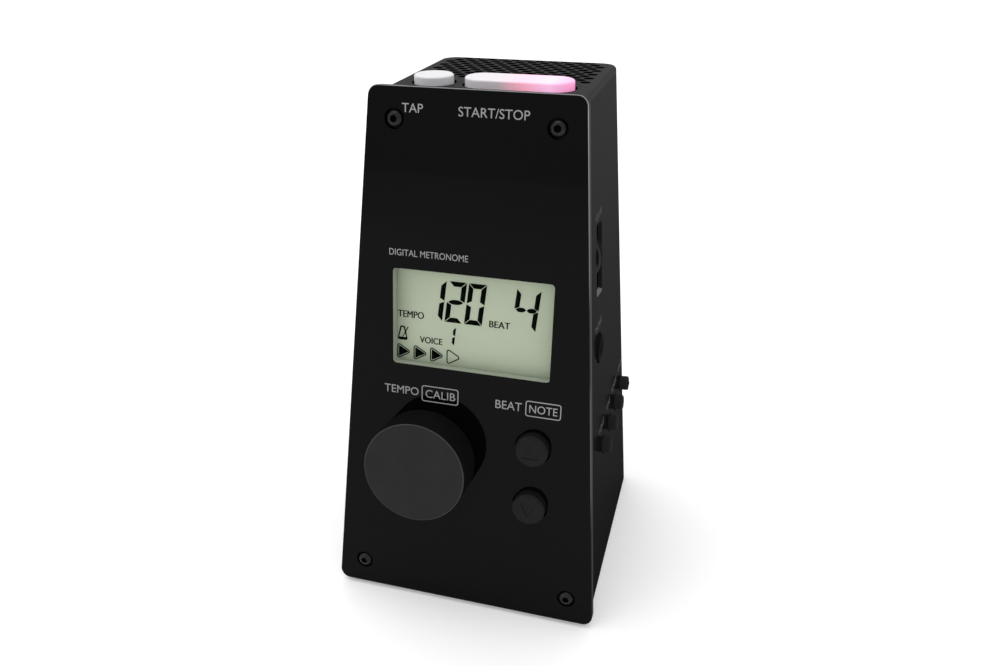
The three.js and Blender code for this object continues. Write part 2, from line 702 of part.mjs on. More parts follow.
// A cell along X, its positive cap towards +X or, when turned round, towards -X.
function cell(y, z, flip) {
  const [end, shoulder] = [CELL.length / 2, CELL.length / 2 - 1];
  const profile = [
    [0, -end],
    [CELL.radius, -end],
    [CELL.radius, shoulder],
    [CELL.cap, shoulder],
    [CELL.cap, end],
    [0, end],
  ];
  const shape = turned(profile, 16);
  return shape.rotateZ(flip ? Math.PI / 2 : -Math.PI / 2).translate(0, y, z);
}
const cellPlaces = CELL.z.flatMap((z) => CELL.y.map((y) => [y, z]));
cellPlaces.forEach(([y, z], i) => piece(caseFrame, `cell_${i + 1}`, cell(y, z, i % 2 === 1), LOOK.cell));

for (const [name, side] of [['left', -1], ['right', 1]]) {
  const [left, right] = [CONTACT.inner * side, CONTACT.outer * side].sort((a, b) => a - b);
  const backing = block([left, CONTACT.y[0], CONTACT.z[0]], [right, CONTACT.y[1], CONTACT.z[1]]);
  const springs = cellPlaces.map(([y, z]) => {
    const [tip, root] = [CONTACT.inner - 0.8, CONTACT.inner + 0.2];
    const coil = turned([[0, tip], [1.1, tip], [2.6, root], [0, root]], 8);
    return coil.rotateZ((-side * Math.PI) / 2).translate(0, y, z);
  });
  piece(caseFrame, `contact_${name}`, join(backing, ...springs), LOOK.plated);
}

piece(
  caseFrame,
  'battery_door',
  cut(
    block(
      [DOOR.gap - DOOR.half, CASE.rear - DOOR.thick, DOOR.bottom + DOOR.gap],
      [DOOR.half - DOOR.gap, CASE.rear, DOOR.top - DOOR.gap],
    ),
    barX(
      DOOR_NOTCH.radius, -DOOR_NOTCH.half, DOOR_NOTCH.half,
      CASE.rear + DOOR_NOTCH.back, DOOR.top - DOOR_NOTCH.back, 32,
    ),
  ),
  LOOK.shell,
);

// ---------------------------------------------------------------- feet and leads

const footProfile = [
  [0, 0],
  [FOOT.radius - 0.3, 0],
  [FOOT.radius, 0.3],
  [FOOT.radius, FOOT.thick],
  [0, FOOT.thick],
];
feet.forEach(([x, y], i) => {
  const pad = turnedZ(footProfile, 16).translate(x, y, CASE.bottom - FOOT.proud);
  piece(caseFrame, `foot_${i + 1}`, pad, LOOK.rubber);
});

// A round wire along a smooth curve through the given points.
function wire(points, radius) {
  const extrudePath = new THREE.CatmullRomCurve3(points.map((p) => new THREE.Vector3(...p)));
  const round = new THREE.Shape().absarc(0, 0, radius, 0, 2 * Math.PI, false);
  return new THREE.ExtrudeGeometry(round, { extrudePath, steps: 12, curveSegments: 3, bevelEnabled: false });
}
const speakerRun = [
  [0, 29.4, 90.6],
  [0, 29.2, 87],
  [0, 28.4, 83.5],
  [0, 26.8, 81],
];
const batteryRun = [
  [-10, 33.9, 16],
  [-10, 29.5, 15.2],
  [-10, 23.5, 17],
  [-10, 18.4, 22.5],
];
piece(caseFrame, 'speaker_lead', wire(speakerRun, LEAD_RADIUS), LOOK.lead);
piece(caseFrame, 'battery_lead', wire(batteryRun, LEAD_RADIUS), LOOK.lead);

export default metronome;
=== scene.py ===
"""The looks of a small digital metronome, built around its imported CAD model.

Shapes are worked out in millimetres and turned into metres when a piece is made. Four frames are used:
  ROW    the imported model's own frame
  CASE   x right, y back from the panel's lower front edge, z up from that edge
  PANEL  x right, y into the case along the panel's normal, z up the panel
  SIDE   x out of the right wall, y back, z up the wall
A shape is drawn with its own Z pointing out of the surface that it sits on.
"""
import json
import math

import bmesh
import bpy
from mathutils import Matrix, Vector


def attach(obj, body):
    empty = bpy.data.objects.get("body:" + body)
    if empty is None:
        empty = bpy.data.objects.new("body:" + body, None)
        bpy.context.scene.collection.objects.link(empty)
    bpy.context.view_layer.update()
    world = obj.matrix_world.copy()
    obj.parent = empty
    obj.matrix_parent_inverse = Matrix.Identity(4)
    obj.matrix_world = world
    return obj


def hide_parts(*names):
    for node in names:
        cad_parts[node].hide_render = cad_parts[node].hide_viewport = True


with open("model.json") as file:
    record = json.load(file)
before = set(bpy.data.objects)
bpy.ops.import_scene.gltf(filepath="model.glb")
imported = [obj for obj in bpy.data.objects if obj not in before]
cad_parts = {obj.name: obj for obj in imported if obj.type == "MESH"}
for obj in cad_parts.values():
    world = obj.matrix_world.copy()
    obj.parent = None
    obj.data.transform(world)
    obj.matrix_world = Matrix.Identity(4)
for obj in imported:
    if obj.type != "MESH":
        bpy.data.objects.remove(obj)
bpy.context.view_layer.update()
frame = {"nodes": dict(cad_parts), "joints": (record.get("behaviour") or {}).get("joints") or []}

scene = bpy.context.scene

# --- frames, worked out from the CAD

MM = 0.001
ROW = Matrix.Identity(4)
METRES = Matrix.Scale(MM, 4)


def shift(x, y, z):
    return Matrix.Translation((x, y, z))


def turn(degrees, axis):
    return Matrix.Rotation(math.radians(degrees), 4, axis)


def span(node, place):
    """A CAD node's lowest and highest corners along the axes of a frame."""
    back = (METRES @ place).inverted()
    points = [back @ vertex.co for vertex in frame["nodes"][node].data.vertices]
    return [Vector([pick(point[i] for point in points) for i in range(3)]) for pick in (min, max)]


joints = {joint["name"]: joint for joint in frame["joints"]}
panel_normal = Vector(joints["dial_turn"]["axis"])
LEAN = math.atan2(panel_normal.z, -panel_normal.y)
leaned = Matrix.Rotation(-LEAN, 4, "X")
panel_corner = span("front_panel", leaned)[0]
PANEL = leaned @ shift(0, panel_corner.y, panel_corner.z)
CASE = Matrix.Translation(PANEL.translation)

shell_low, shell_high = span("rear_shell", CASE)
back_to_case = (METRES @ CASE).inverted()
roof_points = [back_to_case @ vertex.co for vertex in frame["nodes"]["rear_shell"].data.vertices]
roof_half = max(point.x for point in roof_points if point.z > shell_high.z - 0.01)
TAPER = (shell_high.x - roof_half) / (shell_high.z - shell_low.z)


def outer_half(z):
    """Half the case's width at a height."""
    return shell_high.x - TAPER * (z - shell_low.z)


SIDE = CASE @ shift(outer_half(0), 0, 0) @ Matrix.Rotation(-math.atan(TAPER), 4, "Y")

FACING_FRONT = turn(90, "X")
FACING_SIDE = Matrix(((0, 0, 1, 0), (1, 0, 0, 0), (0, 1, 0, 0), (0, 0, 0, 1)))


def on_panel(x, z, depth=0.0):
    return PANEL @ shift(x, depth, z) @ FACING_FRONT


def on_roof(x, y, height=0.0):
    return CASE @ shift(x, y, shell_high.z + height)


def on_side(y, z, proud=0.0):
    return SIDE @ shift(proud, y, z) @ FACING_SIDE


def centre(node, place):
    low, high = span(node, place)
    return (low + high) / 2


# --- shape helpers


def circle(radius, sides, x=0.0, y=0.0):
    turns = [2 * math.pi * k / sides for k in range(sides)]
    return [(x + radius * math.cos(a), y + radius * math.sin(a)) for a in turns]


def arc(x, y, radius, start, end, steps):
    """Points on an arc between two angles in degrees."""
    turns = [math.radians(start + (end - start) * k / steps) for k in range(steps + 1)]
    return [(x + radius * math.cos(a), y + radius * math.sin(a)) for a in turns]


def rounded(corners, radius, steps=8):
    """A convex outline with its corners rounded by arcs of one radius."""
    points = []
    for i, corner in enumerate(corners):
        here = Vector(corner)
        before = (Vector(corners[i - 1]) - here).normalized()
        after = (Vector(corners[(i + 1) % len(corners)]) - here).normalized()
        half = before.angle(after) / 2
        middle = here + (before + after).normalized() * radius / math.sin(half)
        start = here + before * radius / math.tan(half) - middle
        first = math.degrees(math.atan2(start.y, start.x))
        points += arc(middle.x, middle.y, radius, first, first + 180 - 2 * math.degrees(half), steps)
    return points


def rectangle(width, height, radius, x=0.0, y=0.0, steps=8):
    left, right, low, high = x - width / 2, x + width / 2, y - height / 2, y + height / 2
    return rounded([(left, low), (right, low), (right, high), (left, high)], radius, steps)


def stadium(left, right, radius, y=0.0, steps=24):
    return arc(right - radius, y, radius, -90, 90, steps) + arc(left + radius, y, radius, 90, 270, steps)


def inset(outline, distance):
    """An outline that runs anticlockwise, moved inwards."""
    if not distance:
        return outline
    moved = []
    for i, point in enumerate(outline):
        here = Vector(point)
        before = (here - Vector(outline[i - 1])).normalized()
        after = (Vector(outline[(i + 1) % len(outline)]) - here).normalized()
        inward = Vector((-before.y - after.y, before.x + after.x)).normalized()
        moved.append(here + inward * distance / max(0.2, inward.dot(Vector((-before.y, before.x)))))
    return moved


def quarter(edge, steps=5):
    """Pairs of inset and drop around a rounded edge, from the side to the end face."""
    turns = [math.radians(90 * k / steps) for k in range(steps + 1)]
    return [(edge * (1 - math.cos(a)), edge * (1 - math.sin(a))) for a in turns]


def rim(radius, top, edge, steps=6):
    """Profile points around a rounded outer edge, from the side up to the top."""
    return [(radius - move, top - drop) for move, drop in quarter(edge, steps)]


def stop_flange(radius, low, stem, stop, back, front):
    """Profile points of a button's stem and of the flange that stops it behind its wall."""
    return [(stem, low), (stem, back), (stop, back), (stop, front), (radius, front)]


def loft(rings, place=ROW, closed=False):
    """A skin through rings with the same number of points, capped at its ends unless it closes on itself."""
    shape = bmesh.new()
    rows = [[shape.verts.new(point) for point in ring] for ring in rings]
    count = len(rows[0])
    pairs = list(zip(rows, rows[1:]))
    if closed:
        pairs.append((rows[-1], rows[0]))
    else:
        shape.faces.new(list(reversed(rows[0])))
        shape.faces.new(rows[-1])
    for low, high in pairs:
        for i in range(count):
            j = (i + 1) % count
            shape.faces.new((low[i], low[j], high[j], high[i]))
    bmesh.ops.recalc_face_normals(shape, faces=shape.faces)
    shape.transform(place)
    shape.normal_update()
    return shape


def turned(profile, place=ROW, sides=96, closed=False):
    """A turned solid about Z, from pairs of radius and height."""
    return loft([[(x, y, z) for x, y in circle(r, sides)] for r, z in profile], place, closed)


def prism(outline, levels, place=ROW):
    """A solid along Z whose section is an outline, moved in at each level: pairs of height and inset."""
    return loft([[(x, y, z) for x, y in inset(outline, move)] for z, move in levels], place)


def soft_levels(low, high, low_edge=0.0, high_edge=0.0, steps=5):
    """Levels of a prism whose end edges are rounded."""
    start, end = [(low, 0)], [(high, 0)]
    if low_edge:
        start = [(low + drop, move) for move, drop in reversed(quarter(low_edge, steps))]
    if high_edge:
        end = [(high - drop, move) for move, drop in quarter(high_edge, steps)]
    return start + end


def linked(name, data):
    """A new object of the scene."""
    obj = bpy.data.objects.new(name, data)
    scene.collection.objects.link(obj)
    return obj


def as_mesh(shape, name="working"):
    """The mesh of a shape, which is used up."""
    mesh = bpy.data.meshes.new(name)
    shape.to_mesh(mesh)
    shape.free()
    return mesh


def merged(shapes):
    """Shapes gathered into one, without joining their surfaces."""
    whole = bmesh.new()
    for shape in shapes:
        mesh = as_mesh(shape)
        whole.from_mesh(mesh)
        bpy.data.meshes.remove(mesh)
    return whole


def combined(base, tools, operation):
    """A shape joined with tools, or cut by them, by a boolean operation."""
    made = [linked("working", as_mesh(shape)) for shape in (base, merged(tools))]
    step = made[0].modifiers.new("combine", "BOOLEAN")
    step.object = made[1]
    step.operation = operation
    step.solver = "EXACT"
    result = bmesh.new()
    result.from_object(made[0], bpy.context.evaluated_depsgraph_get())
    for obj in made:
        mesh = obj.data
        bpy.data.objects.remove(obj)
        bpy.data.meshes.remove(mesh)
    bmesh.ops.remove_doubles(result, verts=result.verts, dist=1e-5)
    bmesh.ops.dissolve_degenerate(result, edges=result.edges, dist=1e-5)
    return result


def cut(base, *tools):
    return combined(base, tools, "DIFFERENCE")


def joined(base, *tools):
    return combined(base, tools, "UNION")


def finished(shape, place, choose):
    """Gives each face the finish that a rule picks from its middle and its normal in a frame."""
    back = place.inverted()
    turn_back = back.to_3x3()
    for face in shape.faces:
        face.material_index = choose(back @ face.calc_center_median(), turn_back @ face.normal)
    return shape


def from_curve(curve, place):
    """The mesh of a curve or text, with its doubled points merged."""
    obj = linked("working", curve)
    evaluated = obj.evaluated_get(bpy.context.evaluated_depsgraph_get())
    shape = bmesh.new()
    shape.from_mesh(evaluated.to_mesh())
    evaluated.to_mesh_clear()
    bpy.data.objects.remove(obj)
    bpy.data.curves.remove(curve)
    bmesh.ops.remove_doubles(shape, verts=shape.verts, dist=1e-5)
    shape.transform(place)
    return shape


def curve_through(lines, dimensions):
    """A curve of straight lines between points. A flat curve's lines are closed."""
    curve = bpy.data.curves.new("working", "CURVE")
    curve.dimensions = dimensions
    for spots in lines:
        line = curve.splines.new("POLY")
        line.points.add(len(spots) - 1)
        for point, spot in zip(line.points, spots):
            point.co = (*spot, 1)
        line.use_cyclic_u = dimensions == "2D"
    return curve


def flat(outlines, thick, place):
    """A thin plate with holes where one outline lies inside another, standing thick above Z = 0."""
    curve = curve_through([[(x, y, 0) for x, y in outline] for outline in outlines], "2D")
    curve.fill_mode = "BOTH"
    curve.extrude = thick / 2
    return from_curve(curve, place @ shift(0, 0, thick / 2))


def lettering(words, left, right, low, high, thick, place):
    """Raised words that fill a box."""
    text = bpy.data.curves.new("working", "FONT")
    text.body = words
    text.size = 1
    text.extrude = thick / 2
    text.resolution_u = 4
    shape = from_curve(text, ROW)
    xs = [vertex.co.x for vertex in shape.verts]
    ys = [vertex.co.y for vertex in shape.verts]
    wide = (right - left) / (max(xs) - min(xs))
    tall = (high - low) / (max(ys) - min(ys))
    fit = Matrix.Diagonal((wide, tall, 1, 1)) @ shift(-min(xs), -min(ys), thick / 2)
    shape.transform(place @ shift(left, low, 0) @ fit)
    return shape


def wire(points, radius, place=ROW, sides=4):
    """A round wire along points."""
    curve = curve_through([points], "3D")
    curve.bevel_depth = radius
    curve.bevel_resolution = sides
    curve.use_fill_caps = True
    return from_curve(curve, place)


SHARP_ANGLE = math.radians(30)


def piece(name, shape, finishes, body, stands_for=()):
    """Makes one piece from a shape, with its finishes, and lets it ride on a body."""
    shape.transform(METRES)
    bmesh.ops.recalc_face_normals(shape, faces=shape.faces)
    mesh = as_mesh(shape, name)
    mesh.shade_smooth()
    mesh.set_sharp_from_angle(angle=SHARP_ANGLE)
    for finish in finishes:
        mesh.materials.append(finish)
    obj = linked(name, mesh)
    even = obj.modifiers.new("even_shading", "WEIGHTED_NORMAL")
    even.keep_sharp = True
    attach(obj, body)
    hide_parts(*stands_for)
    return obj


# --- materials


def linear(*rgb):
    """An sRGB colour, 0 to 255, as scene values."""
    values = [v / 255 for v in rgb]
    return [v / 12.92 if v <= 0.04045 else ((v + 0.055) / 1.055) ** 2.4 for v in values]


def add_node(tree, kind, **inputs):
    """A shader node whose inputs take values, or the outputs of other nodes. An underscore is a space."""
    made = tree.nodes.new(f"ShaderNode{kind}")
    for name, value in inputs.items():
        socket = made.inputs[name.replace("_", " ")]
        if isinstance(value, bpy.types.NodeSocket):
            tree.links.new(value, socket)
        else:
            socket.default_value = value
    return made


def material(name, rgb, roughness, metallic=0.0, gloss=None, mottle=0.06, mottle_size=6.0,
             rough_spread=0.06, grain=None, coat=None, **sockets):
    """A principled finish with drifting colour and roughness, and a fine grain of a size and depth in mm.
    With gloss, the surface mirrors through a coat of that weight, which keeps dark plastic dark."""
    made = bpy.data.materials.new(name)
    made.use_nodes = True
    tree = made.node_tree
    shader = tree.nodes["Principled BSDF"]
    shader.inputs["Metallic"].default_value = metallic
    if gloss is not None:
        shader.inputs["Specular IOR Level"].default_value = 0.0
        shader.inputs["Coat Weight"].default_value = gloss
        shader.inputs["Coat Roughness"].default_value = roughness if coat is None else coat
    for socket, value in sockets.items():
        shader.inputs[socket.replace("_", " ")].default_value = value
    where = add_node(tree, "TexCoord").outputs["Object"]

    def noise(size, detail):
        return add_node(tree, "TexNoise", Vector=where, Scale=1 / (size * MM), Detail=detail).outputs["Fac"]

    tint = add_node(tree, "ValToRGB", Fac=noise(mottle_size, 3))
    base = linear(*rgb)
    for element, change in zip(tint.color_ramp.elements, (1 - mottle, 1 + mottle)):
        element.color = [*(min(1.0, v * change) for v in base), 1]
    tint.color_ramp.elements[0].position = 0.3
    tint.color_ramp.elements[1].position = 0.7
    tree.links.new(tint.outputs["Color"], shader.inputs["Base Color"])
    rough = add_node(tree, "MapRange", Value=noise(mottle_size / 3, 4),
                     To_Min=max(0.0, roughness - rough_spread), To_Max=min(1.0, roughness + rough_spread))
    tree.links.new(rough.outputs["Result"], shader.inputs["Roughness"])
    if grain:
        size, depth = grain
        bump = add_node(tree, "Bump", Height=noise(size, 2), Distance=depth * MM, Strength=1)
        tree.links.new(bump.outputs["Normal"], shader.inputs["Normal"])
    return made


def along(made, axis, stops, target="Base Color"):
    """Paints a finish, or painted light and shade, along an axis of the ROW frame, from pairs of place in mm
    and colour.
    A base colour keeps its own mottle, and the paint multiplies it."""
    tree = made.node_tree
    split = add_node(tree, "SeparateXYZ", Vector=add_node(tree, "TexCoord").outputs["Object"])
    low, high = stops[0][0], stops[-1][0]
    reach = add_node(tree, "MapRange", Value=split.outputs[axis], From_Min=low * MM, From_Max=high * MM)
    ramp = add_node(tree, "ValToRGB", Fac=reach.outputs["Result"])
    points = ramp.color_ramp.elements
    while len(points) < len(stops):
        points.new(0.5)
    for point, (spot, colour) in zip(points, stops):
        point.position = (spot - low) / (high - low)
        point.color = [*colour, 1]
    painted = tree.nodes["Principled BSDF"].inputs[target]
    if not painted.links:
        tree.links.new(ramp.outputs["Color"], painted)
        return
    mix = tree.nodes.new("ShaderNodeMix")
    mix.data_type = "RGBA"
    mix.blend_type = "MULTIPLY"
    mix.inputs["Factor"].default_value = 1
    tree.links.new(painted.links[0].from_socket, mix.inputs["A"])
    tree.links.new(ramp.outputs["Color"], mix.inputs["B"])
    tree.links.new(mix.outputs["Result"], painted)


def greys(*steps):
    """Stops for a paint, from places and grey levels in turn."""
    return [(spot, (level,) * 3) for spot, level in zip(steps[::2], steps[1::2])]


SHELL = material("moulded_black", (54, 54, 55), 0.45, gloss=0.07, coat=0.16, grain=(0.16, 0.012))
# Painted shade: the colour darkens down the walls and is lightest on the roof, and the coat's reflection
# weakens towards the bottom.
along(SHELL, "Z", greys(0, 0.08, 60, 0.16, 112.2, 0.24, 113.4, 0.9))
along(SHELL, "Z", greys(0, 0.026, 30, 0.032, 70, 0.041, 113, 0.065), "Coat Weight")
# A painted shade: near-black put on wells, the case's inside, the slot's depth and screw sockets.
PAINTED_SHADE = material("shadowed_black", (7, 7, 7), 0.6, gloss=0.01, grain=(0.16, 0.008))
# A painted highlight on the black chamfer at the mouth of the volume slot.
SLOT_HIGHLIGHT = material("slot_bevel_highlight", (108, 108, 110), 0.4, gloss=0.1, grain=(0.16, 0.004))
GLOSS = material("gloss_acrylic", (5, 5, 6), 0.04, gloss=0.15, rough_spread=0.015, mottle_size=20)
# A painted highlight: the black panel's outer bevel is coloured light grey.
EDGE_HIGHLIGHT = material("polished_edge_highlight", (225, 226, 228), 0.15, gloss=0.1, rough_spread=0.05)
# Painted reflection: the edge's brightness changes in bands up the panel.
along(EDGE_HIGHLIGHT, "Z", greys(0, 0.012, 24, 0.02, 29, 0.06, 34, 0.13, 54, 0.13, 60, 0.04, 74, 0.05, 80, 0.2,
                       95, 0.3, 112, 0.42, 115, 0.3))
LENS = material("clear_acrylic", (12, 13, 12), 0.04, gloss=0.12, rough_spread=0.01, Alpha=0.04)
LCD = material("display_film", (186, 196, 173), 0.4, gloss=0.05, mottle=0.02, mottle_size=9)
# Painted light: dark walls round the display's window are coloured like the display.
WINDOW_LIGHT = material("window_edge_painted_light", (168, 176, 160), 0.3, gloss=0.1, mottle=0.03)
INK = material("display_ink", (7, 10, 7), 0.5, gloss=0.02)
LEGEND = material("legend_ink", (146, 146, 148), 0.6, gloss=0.05, grain=(0.1, 0.004))
SIDE_LEGEND = material("side_legend_ink", (88, 88, 90), 0.6, gloss=0.03, grain=(0.1, 0.004))
KNOB = material("knob_black", (40, 40, 41), 0.4, gloss=0.08, coat=0.3, grain=(0.12, 0.008))
# A painted shade: a darker copy of the knob plastic.
SHADED_FLANK = material("knob_flank_shade", (20, 20, 21), 0.35, gloss=0.05, coat=0.25, grain=(0.12, 0.006))
# A painted highlight: a lighter copy of the knob plastic for rims and bevels.
RIM_HIGHLIGHT = material("knob_rim_highlight", (62, 62, 63), 0.3, gloss=0.16, coat=0.2, grain=(0.12, 0.003))
BUTTON = material("button_black", (27, 27, 28), 0.35, gloss=0.13, coat=0.25, grain=(0.12, 0.006))
SIDE_BUTTON = material("side_button_black", (42, 42, 43), 0.35, gloss=0.08, coat=0.25, grain=(0.12, 0.006))
WHITE = material("white_cap", (224, 222, 226), 0.3, mottle=0.01, grain=(0.2, 0.002))
LIT = material("lit_cap", (228, 226, 230), 0.3, mottle=0.01, grain=(0.2, 0.002), Emission_Strength=1.0)
STEEL = material("black_steel", (40, 40, 42), 0.28, metallic=0.9, grain=(0.3, 0.004))
PLATED = material("plated_steel", (186, 188, 190), 0.28, metallic=1.0, grain=(0.4, 0.003))
DARK_PLATE = material("dark_plated_steel", (15, 15, 16), 0.35, metallic=0.8, grain=(0.4, 0.004))
MAGNET = material("zinc_magnet", (120, 122, 124), 0.38, metallic=0.9, grain=(0.5, 0.006))
BOARD = material("board_mask", (24, 72, 42), 0.4, mottle=0.25, mottle_size=3, grain=(0.9, 0.02))
PART = material("component_black", (20, 20, 21), 0.5, gloss=0.08, grain=(0.15, 0.006))
TRAY = material("tray_black", (36, 36, 37), 0.5, gloss=0.1, grain=(0.18, 0.01))
RUBBER = material("foot_rubber", (24, 24, 24), 0.8, gloss=0.05, grain=(0.3, 0.03))
PAPER = material("pressed_paper", (16, 15, 14), 0.9, gloss=0.02, mottle=0.2, grain=(0.25, 0.05))
WRAP = material("cell_wrap", (58, 92, 112), 0.3, gloss=0.5, grain=(0.8, 0.002))
RESIN = material("lamp_resin", (245, 226, 232), 0.12, mottle=0.02)
SLEEVE = material("wire_sleeve", (130, 34, 30), 0.5, gloss=0.3, grain=(0.3, 0.004))

# --- the case

CORNER = 3.8
WALL_THICK = 2.0
ROOF_EDGE = 0.8
SOLE_EDGE = 0.5
THROUGH = 1.0  # how far a cutting tool runs past what it cuts
PANEL_BOSS = {"radius": 3.2, "past": 1.2, "bore": 1.3, "bore_past": 0.4}
BOARD_BOSS = {"radius": 2.5, "end": 20.0, "bore": 1.1, "bore_end": 19.0, "play": 0.2}
LEDGE = {"inner": 16.9, "front": 36, "rear": 46, "drop": 1.8, "thick": 1.3}
seam = span("rear_shell", PANEL)[0].y
GRILLE = {"pitch": 2.95, "row_pitch": 2.237, "rows": 11, "widest": 13, "radius": 1.15, "rear_gap": 1.9}
tap_low, tap_high = span("tap_button", CASE)
start_low, start_high = span("start_button", CASE)
SKIRT = 0.65
CAP_CLEAR = 0.35
CAP_RADIUS = (tap_high.y - tap_low.y) / 2 - SKIRT
tap_x = (tap_low.x + tap_high.x) / 2
caps_y = (tap_low.y + tap_high.y) / 2
start_left = start_low.x + SKIRT
start_right = start_high.x - SKIRT


def front_at(z):
    """Where the case's open front is at a height."""
    return z * math.tan(LEAN) + seam / math.cos(LEAN)


def case_ring(z, move, front=None):
    """The case's outline at a height, moved in at the sides and rear: square at the front, round behind."""
    half = outer_half(z) - move
    rear = shell_high.y - move
    radius = CORNER - move
    ahead = front_at(z) if front is None else front
    points = [(-half, ahead), (half, ahead)]
    points += arc(half - radius, rear - radius, radius, 0, 90, 14)
    points += arc(radius - half, rear - radius, radius, 90, 180, 14)
    return [(x, y, z) for x, y in points]


def flared(outline, place, mouth, depth=4.0):
    """A cutting tool for an opening whose mouth is chamfered."""
    return prism(outline, [(-depth, 0), (-mouth, 0), (0.05, -mouth - 0.05), (0.3, -mouth - 0.05)], place)


def grille_tools():
    tools = []
    for row in range(GRILLE["rows"]):
        count = GRILLE["widest"] - (1 if row % 2 else 0) - (2 if row == 0 else 0)
        y = shell_high.y - GRILLE["rear_gap"] - row * GRILLE["row_pitch"]
        for i in range(count):
            x = (i - (count - 1) / 2) * GRILLE["pitch"]
            tools.append(flared(circle(GRILLE["radius"], 20), on_roof(x, y), 0.05))
    return tools


wheel_low, wheel_high = span("volume_wheel", PANEL)
socket_low, socket_high = span("headphone_socket", PANEL)
WHEEL_RADIUS = (wheel_high.z - wheel_low.z) / 2
WHEEL_WIDTH = 3.2
wheel_x = wheel_high.x - WHEEL_RADIUS
wheel_z = (wheel_high.z + wheel_low.z) / 2
wheel_y = wheel_high.y - WHEEL_WIDTH / 2
SLOT = {"width": 5.0, "height": 14.4, "mouth": 0.75, "deep": 5.0}
SOCKET = {"ring": 3.0, "bore": 1.8, "clear": 0.4}
socket_y = (socket_low.y + socket_high.y) / 2
socket_z = (socket_low.z + socket_high.z) / 2


def wall_place(depth, z):
    """A place on the right wall under a point of the PANEL frame, facing out and leaned like the panel."""
    spot = SIDE.inverted() @ PANEL @ Vector((outer_half(z * math.cos(LEAN)), depth, z))
    return on_side(spot.y, spot.z) @ turn(-math.degrees(LEAN), "Z")


buttons = {name: centre(f"{name}_button", SIDE) for name in ("voice", "tone", "memory", "power")}
SIDE_RADIUS = 1.83
SIDE_CLEAR = 0.3
door_low, door_high = span("battery_door", CASE)
DOOR_GAP = 0.3
DOOR_RECESS = 3
feet = [centre(f"foot_{i}", CASE) for i in range(1, 5)]
FOOT_RADIUS = 3.2
FOOT_CLEAR = 0.3
FOOT_RECESS = 0.7
screws = [centre(f"panel_screw_{i}", PANEL) for i in range(1, 5)]
board_screws = [centre(f"board_screw_{i}", PANEL) for i in range(1, 5)]
screw_ends = [span(f"panel_screw_{i}", PANEL)[1].y for i in range(1, 5)]
board_back = span("main_board", PANEL)[1].y


def posts(spots, radius, ends, top, sides, depth=0.0):
    """Round posts along the panel's normal, one at each spot, from its end up to a level."""
    return [turned([(radius, -end), (radius, top)], on_panel(spot.x, spot.z, depth), sides)
            for spot, end in zip(spots, ends)]


def bosses():
    """The posts that the screws bite into, and the ledges under the loudspeaker."""
    ends = [end + PANEL_BOSS["past"] for end in screw_ends]
    made = posts(screws, PANEL_BOSS["radius"], ends, -seam, 32)
    ends = [BOARD_BOSS["end"]] * len(board_screws)
    made += posts(board_screws, BOARD_BOSS["radius"], ends, -board_back - BOARD_BOSS["play"], 32)
    top = span("speaker_basket", CASE)[1].z - LEDGE["drop"]
    front, rear = LEDGE["front"], LEDGE["rear"]
    for side in (-1, 1):
        left, right = sorted((LEDGE["inner"] * side, (outer_half(top) - WALL_THICK / 2) * side))
        outline = [(left, front), (right, front), (right, rear), (left, rear)]
        made.append(prism(outline, [(top - LEDGE["thick"], 0), (top, 0)], CASE))
    return made


def screw_bores():
    ends = [end + PANEL_BOSS["bore_past"] for end in screw_ends]
    bores = posts(screws, PANEL_BOSS["bore"], ends, THROUGH, 20, seam)
    ends = [BOARD_BOSS["bore_end"]] * len(board_screws)
    return bores + posts(board_screws, BOARD_BOSS["bore"], ends, -board_back, 20)


def rear_shell():
    low, high = shell_low.z, shell_high.z
    levels = soft_levels(low, high, SOLE_EDGE, ROOF_EDGE)
    skin = loft([case_ring(z, move) for z, move in levels], CASE)
    hollow = loft([case_ring(z, WALL_THICK, -40) for z in (low + WALL_THICK, high - WALL_THICK)], CASE)
    body = joined(cut(skin, hollow), *bosses())
    tools = grille_tools() + screw_bores()
    mouth = 0.2
    tools.append(flared(circle(CAP_RADIUS + CAP_CLEAR, 64), on_roof(tap_x, caps_y), mouth))
    opening = stadium(start_left - CAP_CLEAR, start_right + CAP_CLEAR, CAP_RADIUS + CAP_CLEAR, caps_y)
    tools.append(flared(opening, on_roof(0, 0), mouth))
    mouth = 0.15
    for spot in buttons.values():
        tools.append(flared(circle(SIDE_RADIUS + SIDE_CLEAR, 48), on_side(spot.y, spot.z), mouth))
    bushing = circle(SOCKET["ring"] + SOCKET["clear"], 64)
    tools.append(flared(bushing, wall_place(socket_y, socket_z), mouth, SLOT["deep"]))
    slot = rectangle(SLOT["width"], SLOT["height"], 0.3, steps=3)
    tools.append(flared(slot, wall_place(wheel_y, wheel_z), SLOT["mouth"], SLOT["deep"]))
    left, right = door_low.x - DOOR_GAP, door_high.x + DOOR_GAP
    bottom, top = door_low.z - DOOR_GAP, door_high.z + DOOR_GAP
    recess = rounded([(left, bottom), (right, bottom), (right, top), (left, top)], 0.5, 3)
    depths = [(-shell_high.y - THROUGH, 0), (-shell_high.y + DOOR_RECESS, 0)]
    tools.append(prism(recess, depths, CASE @ FACING_FRONT))
    radius = FOOT_RADIUS + FOOT_CLEAR
    for spot in feet:
        place = CASE @ shift(spot.x, spot.y, 0)
        tools.append(turned([(radius, low - THROUGH), (radius, low + FOOT_RECESS)], place, 48))
    return cut(body, *tools)


def under_edge(wall, end, radius):
    """Depth under a wall and an end face that meet in a rounded edge."""
    if max(wall, end) < radius:
        return radius - math.hypot(radius - wall, radius - end)
    return min(wall, end)


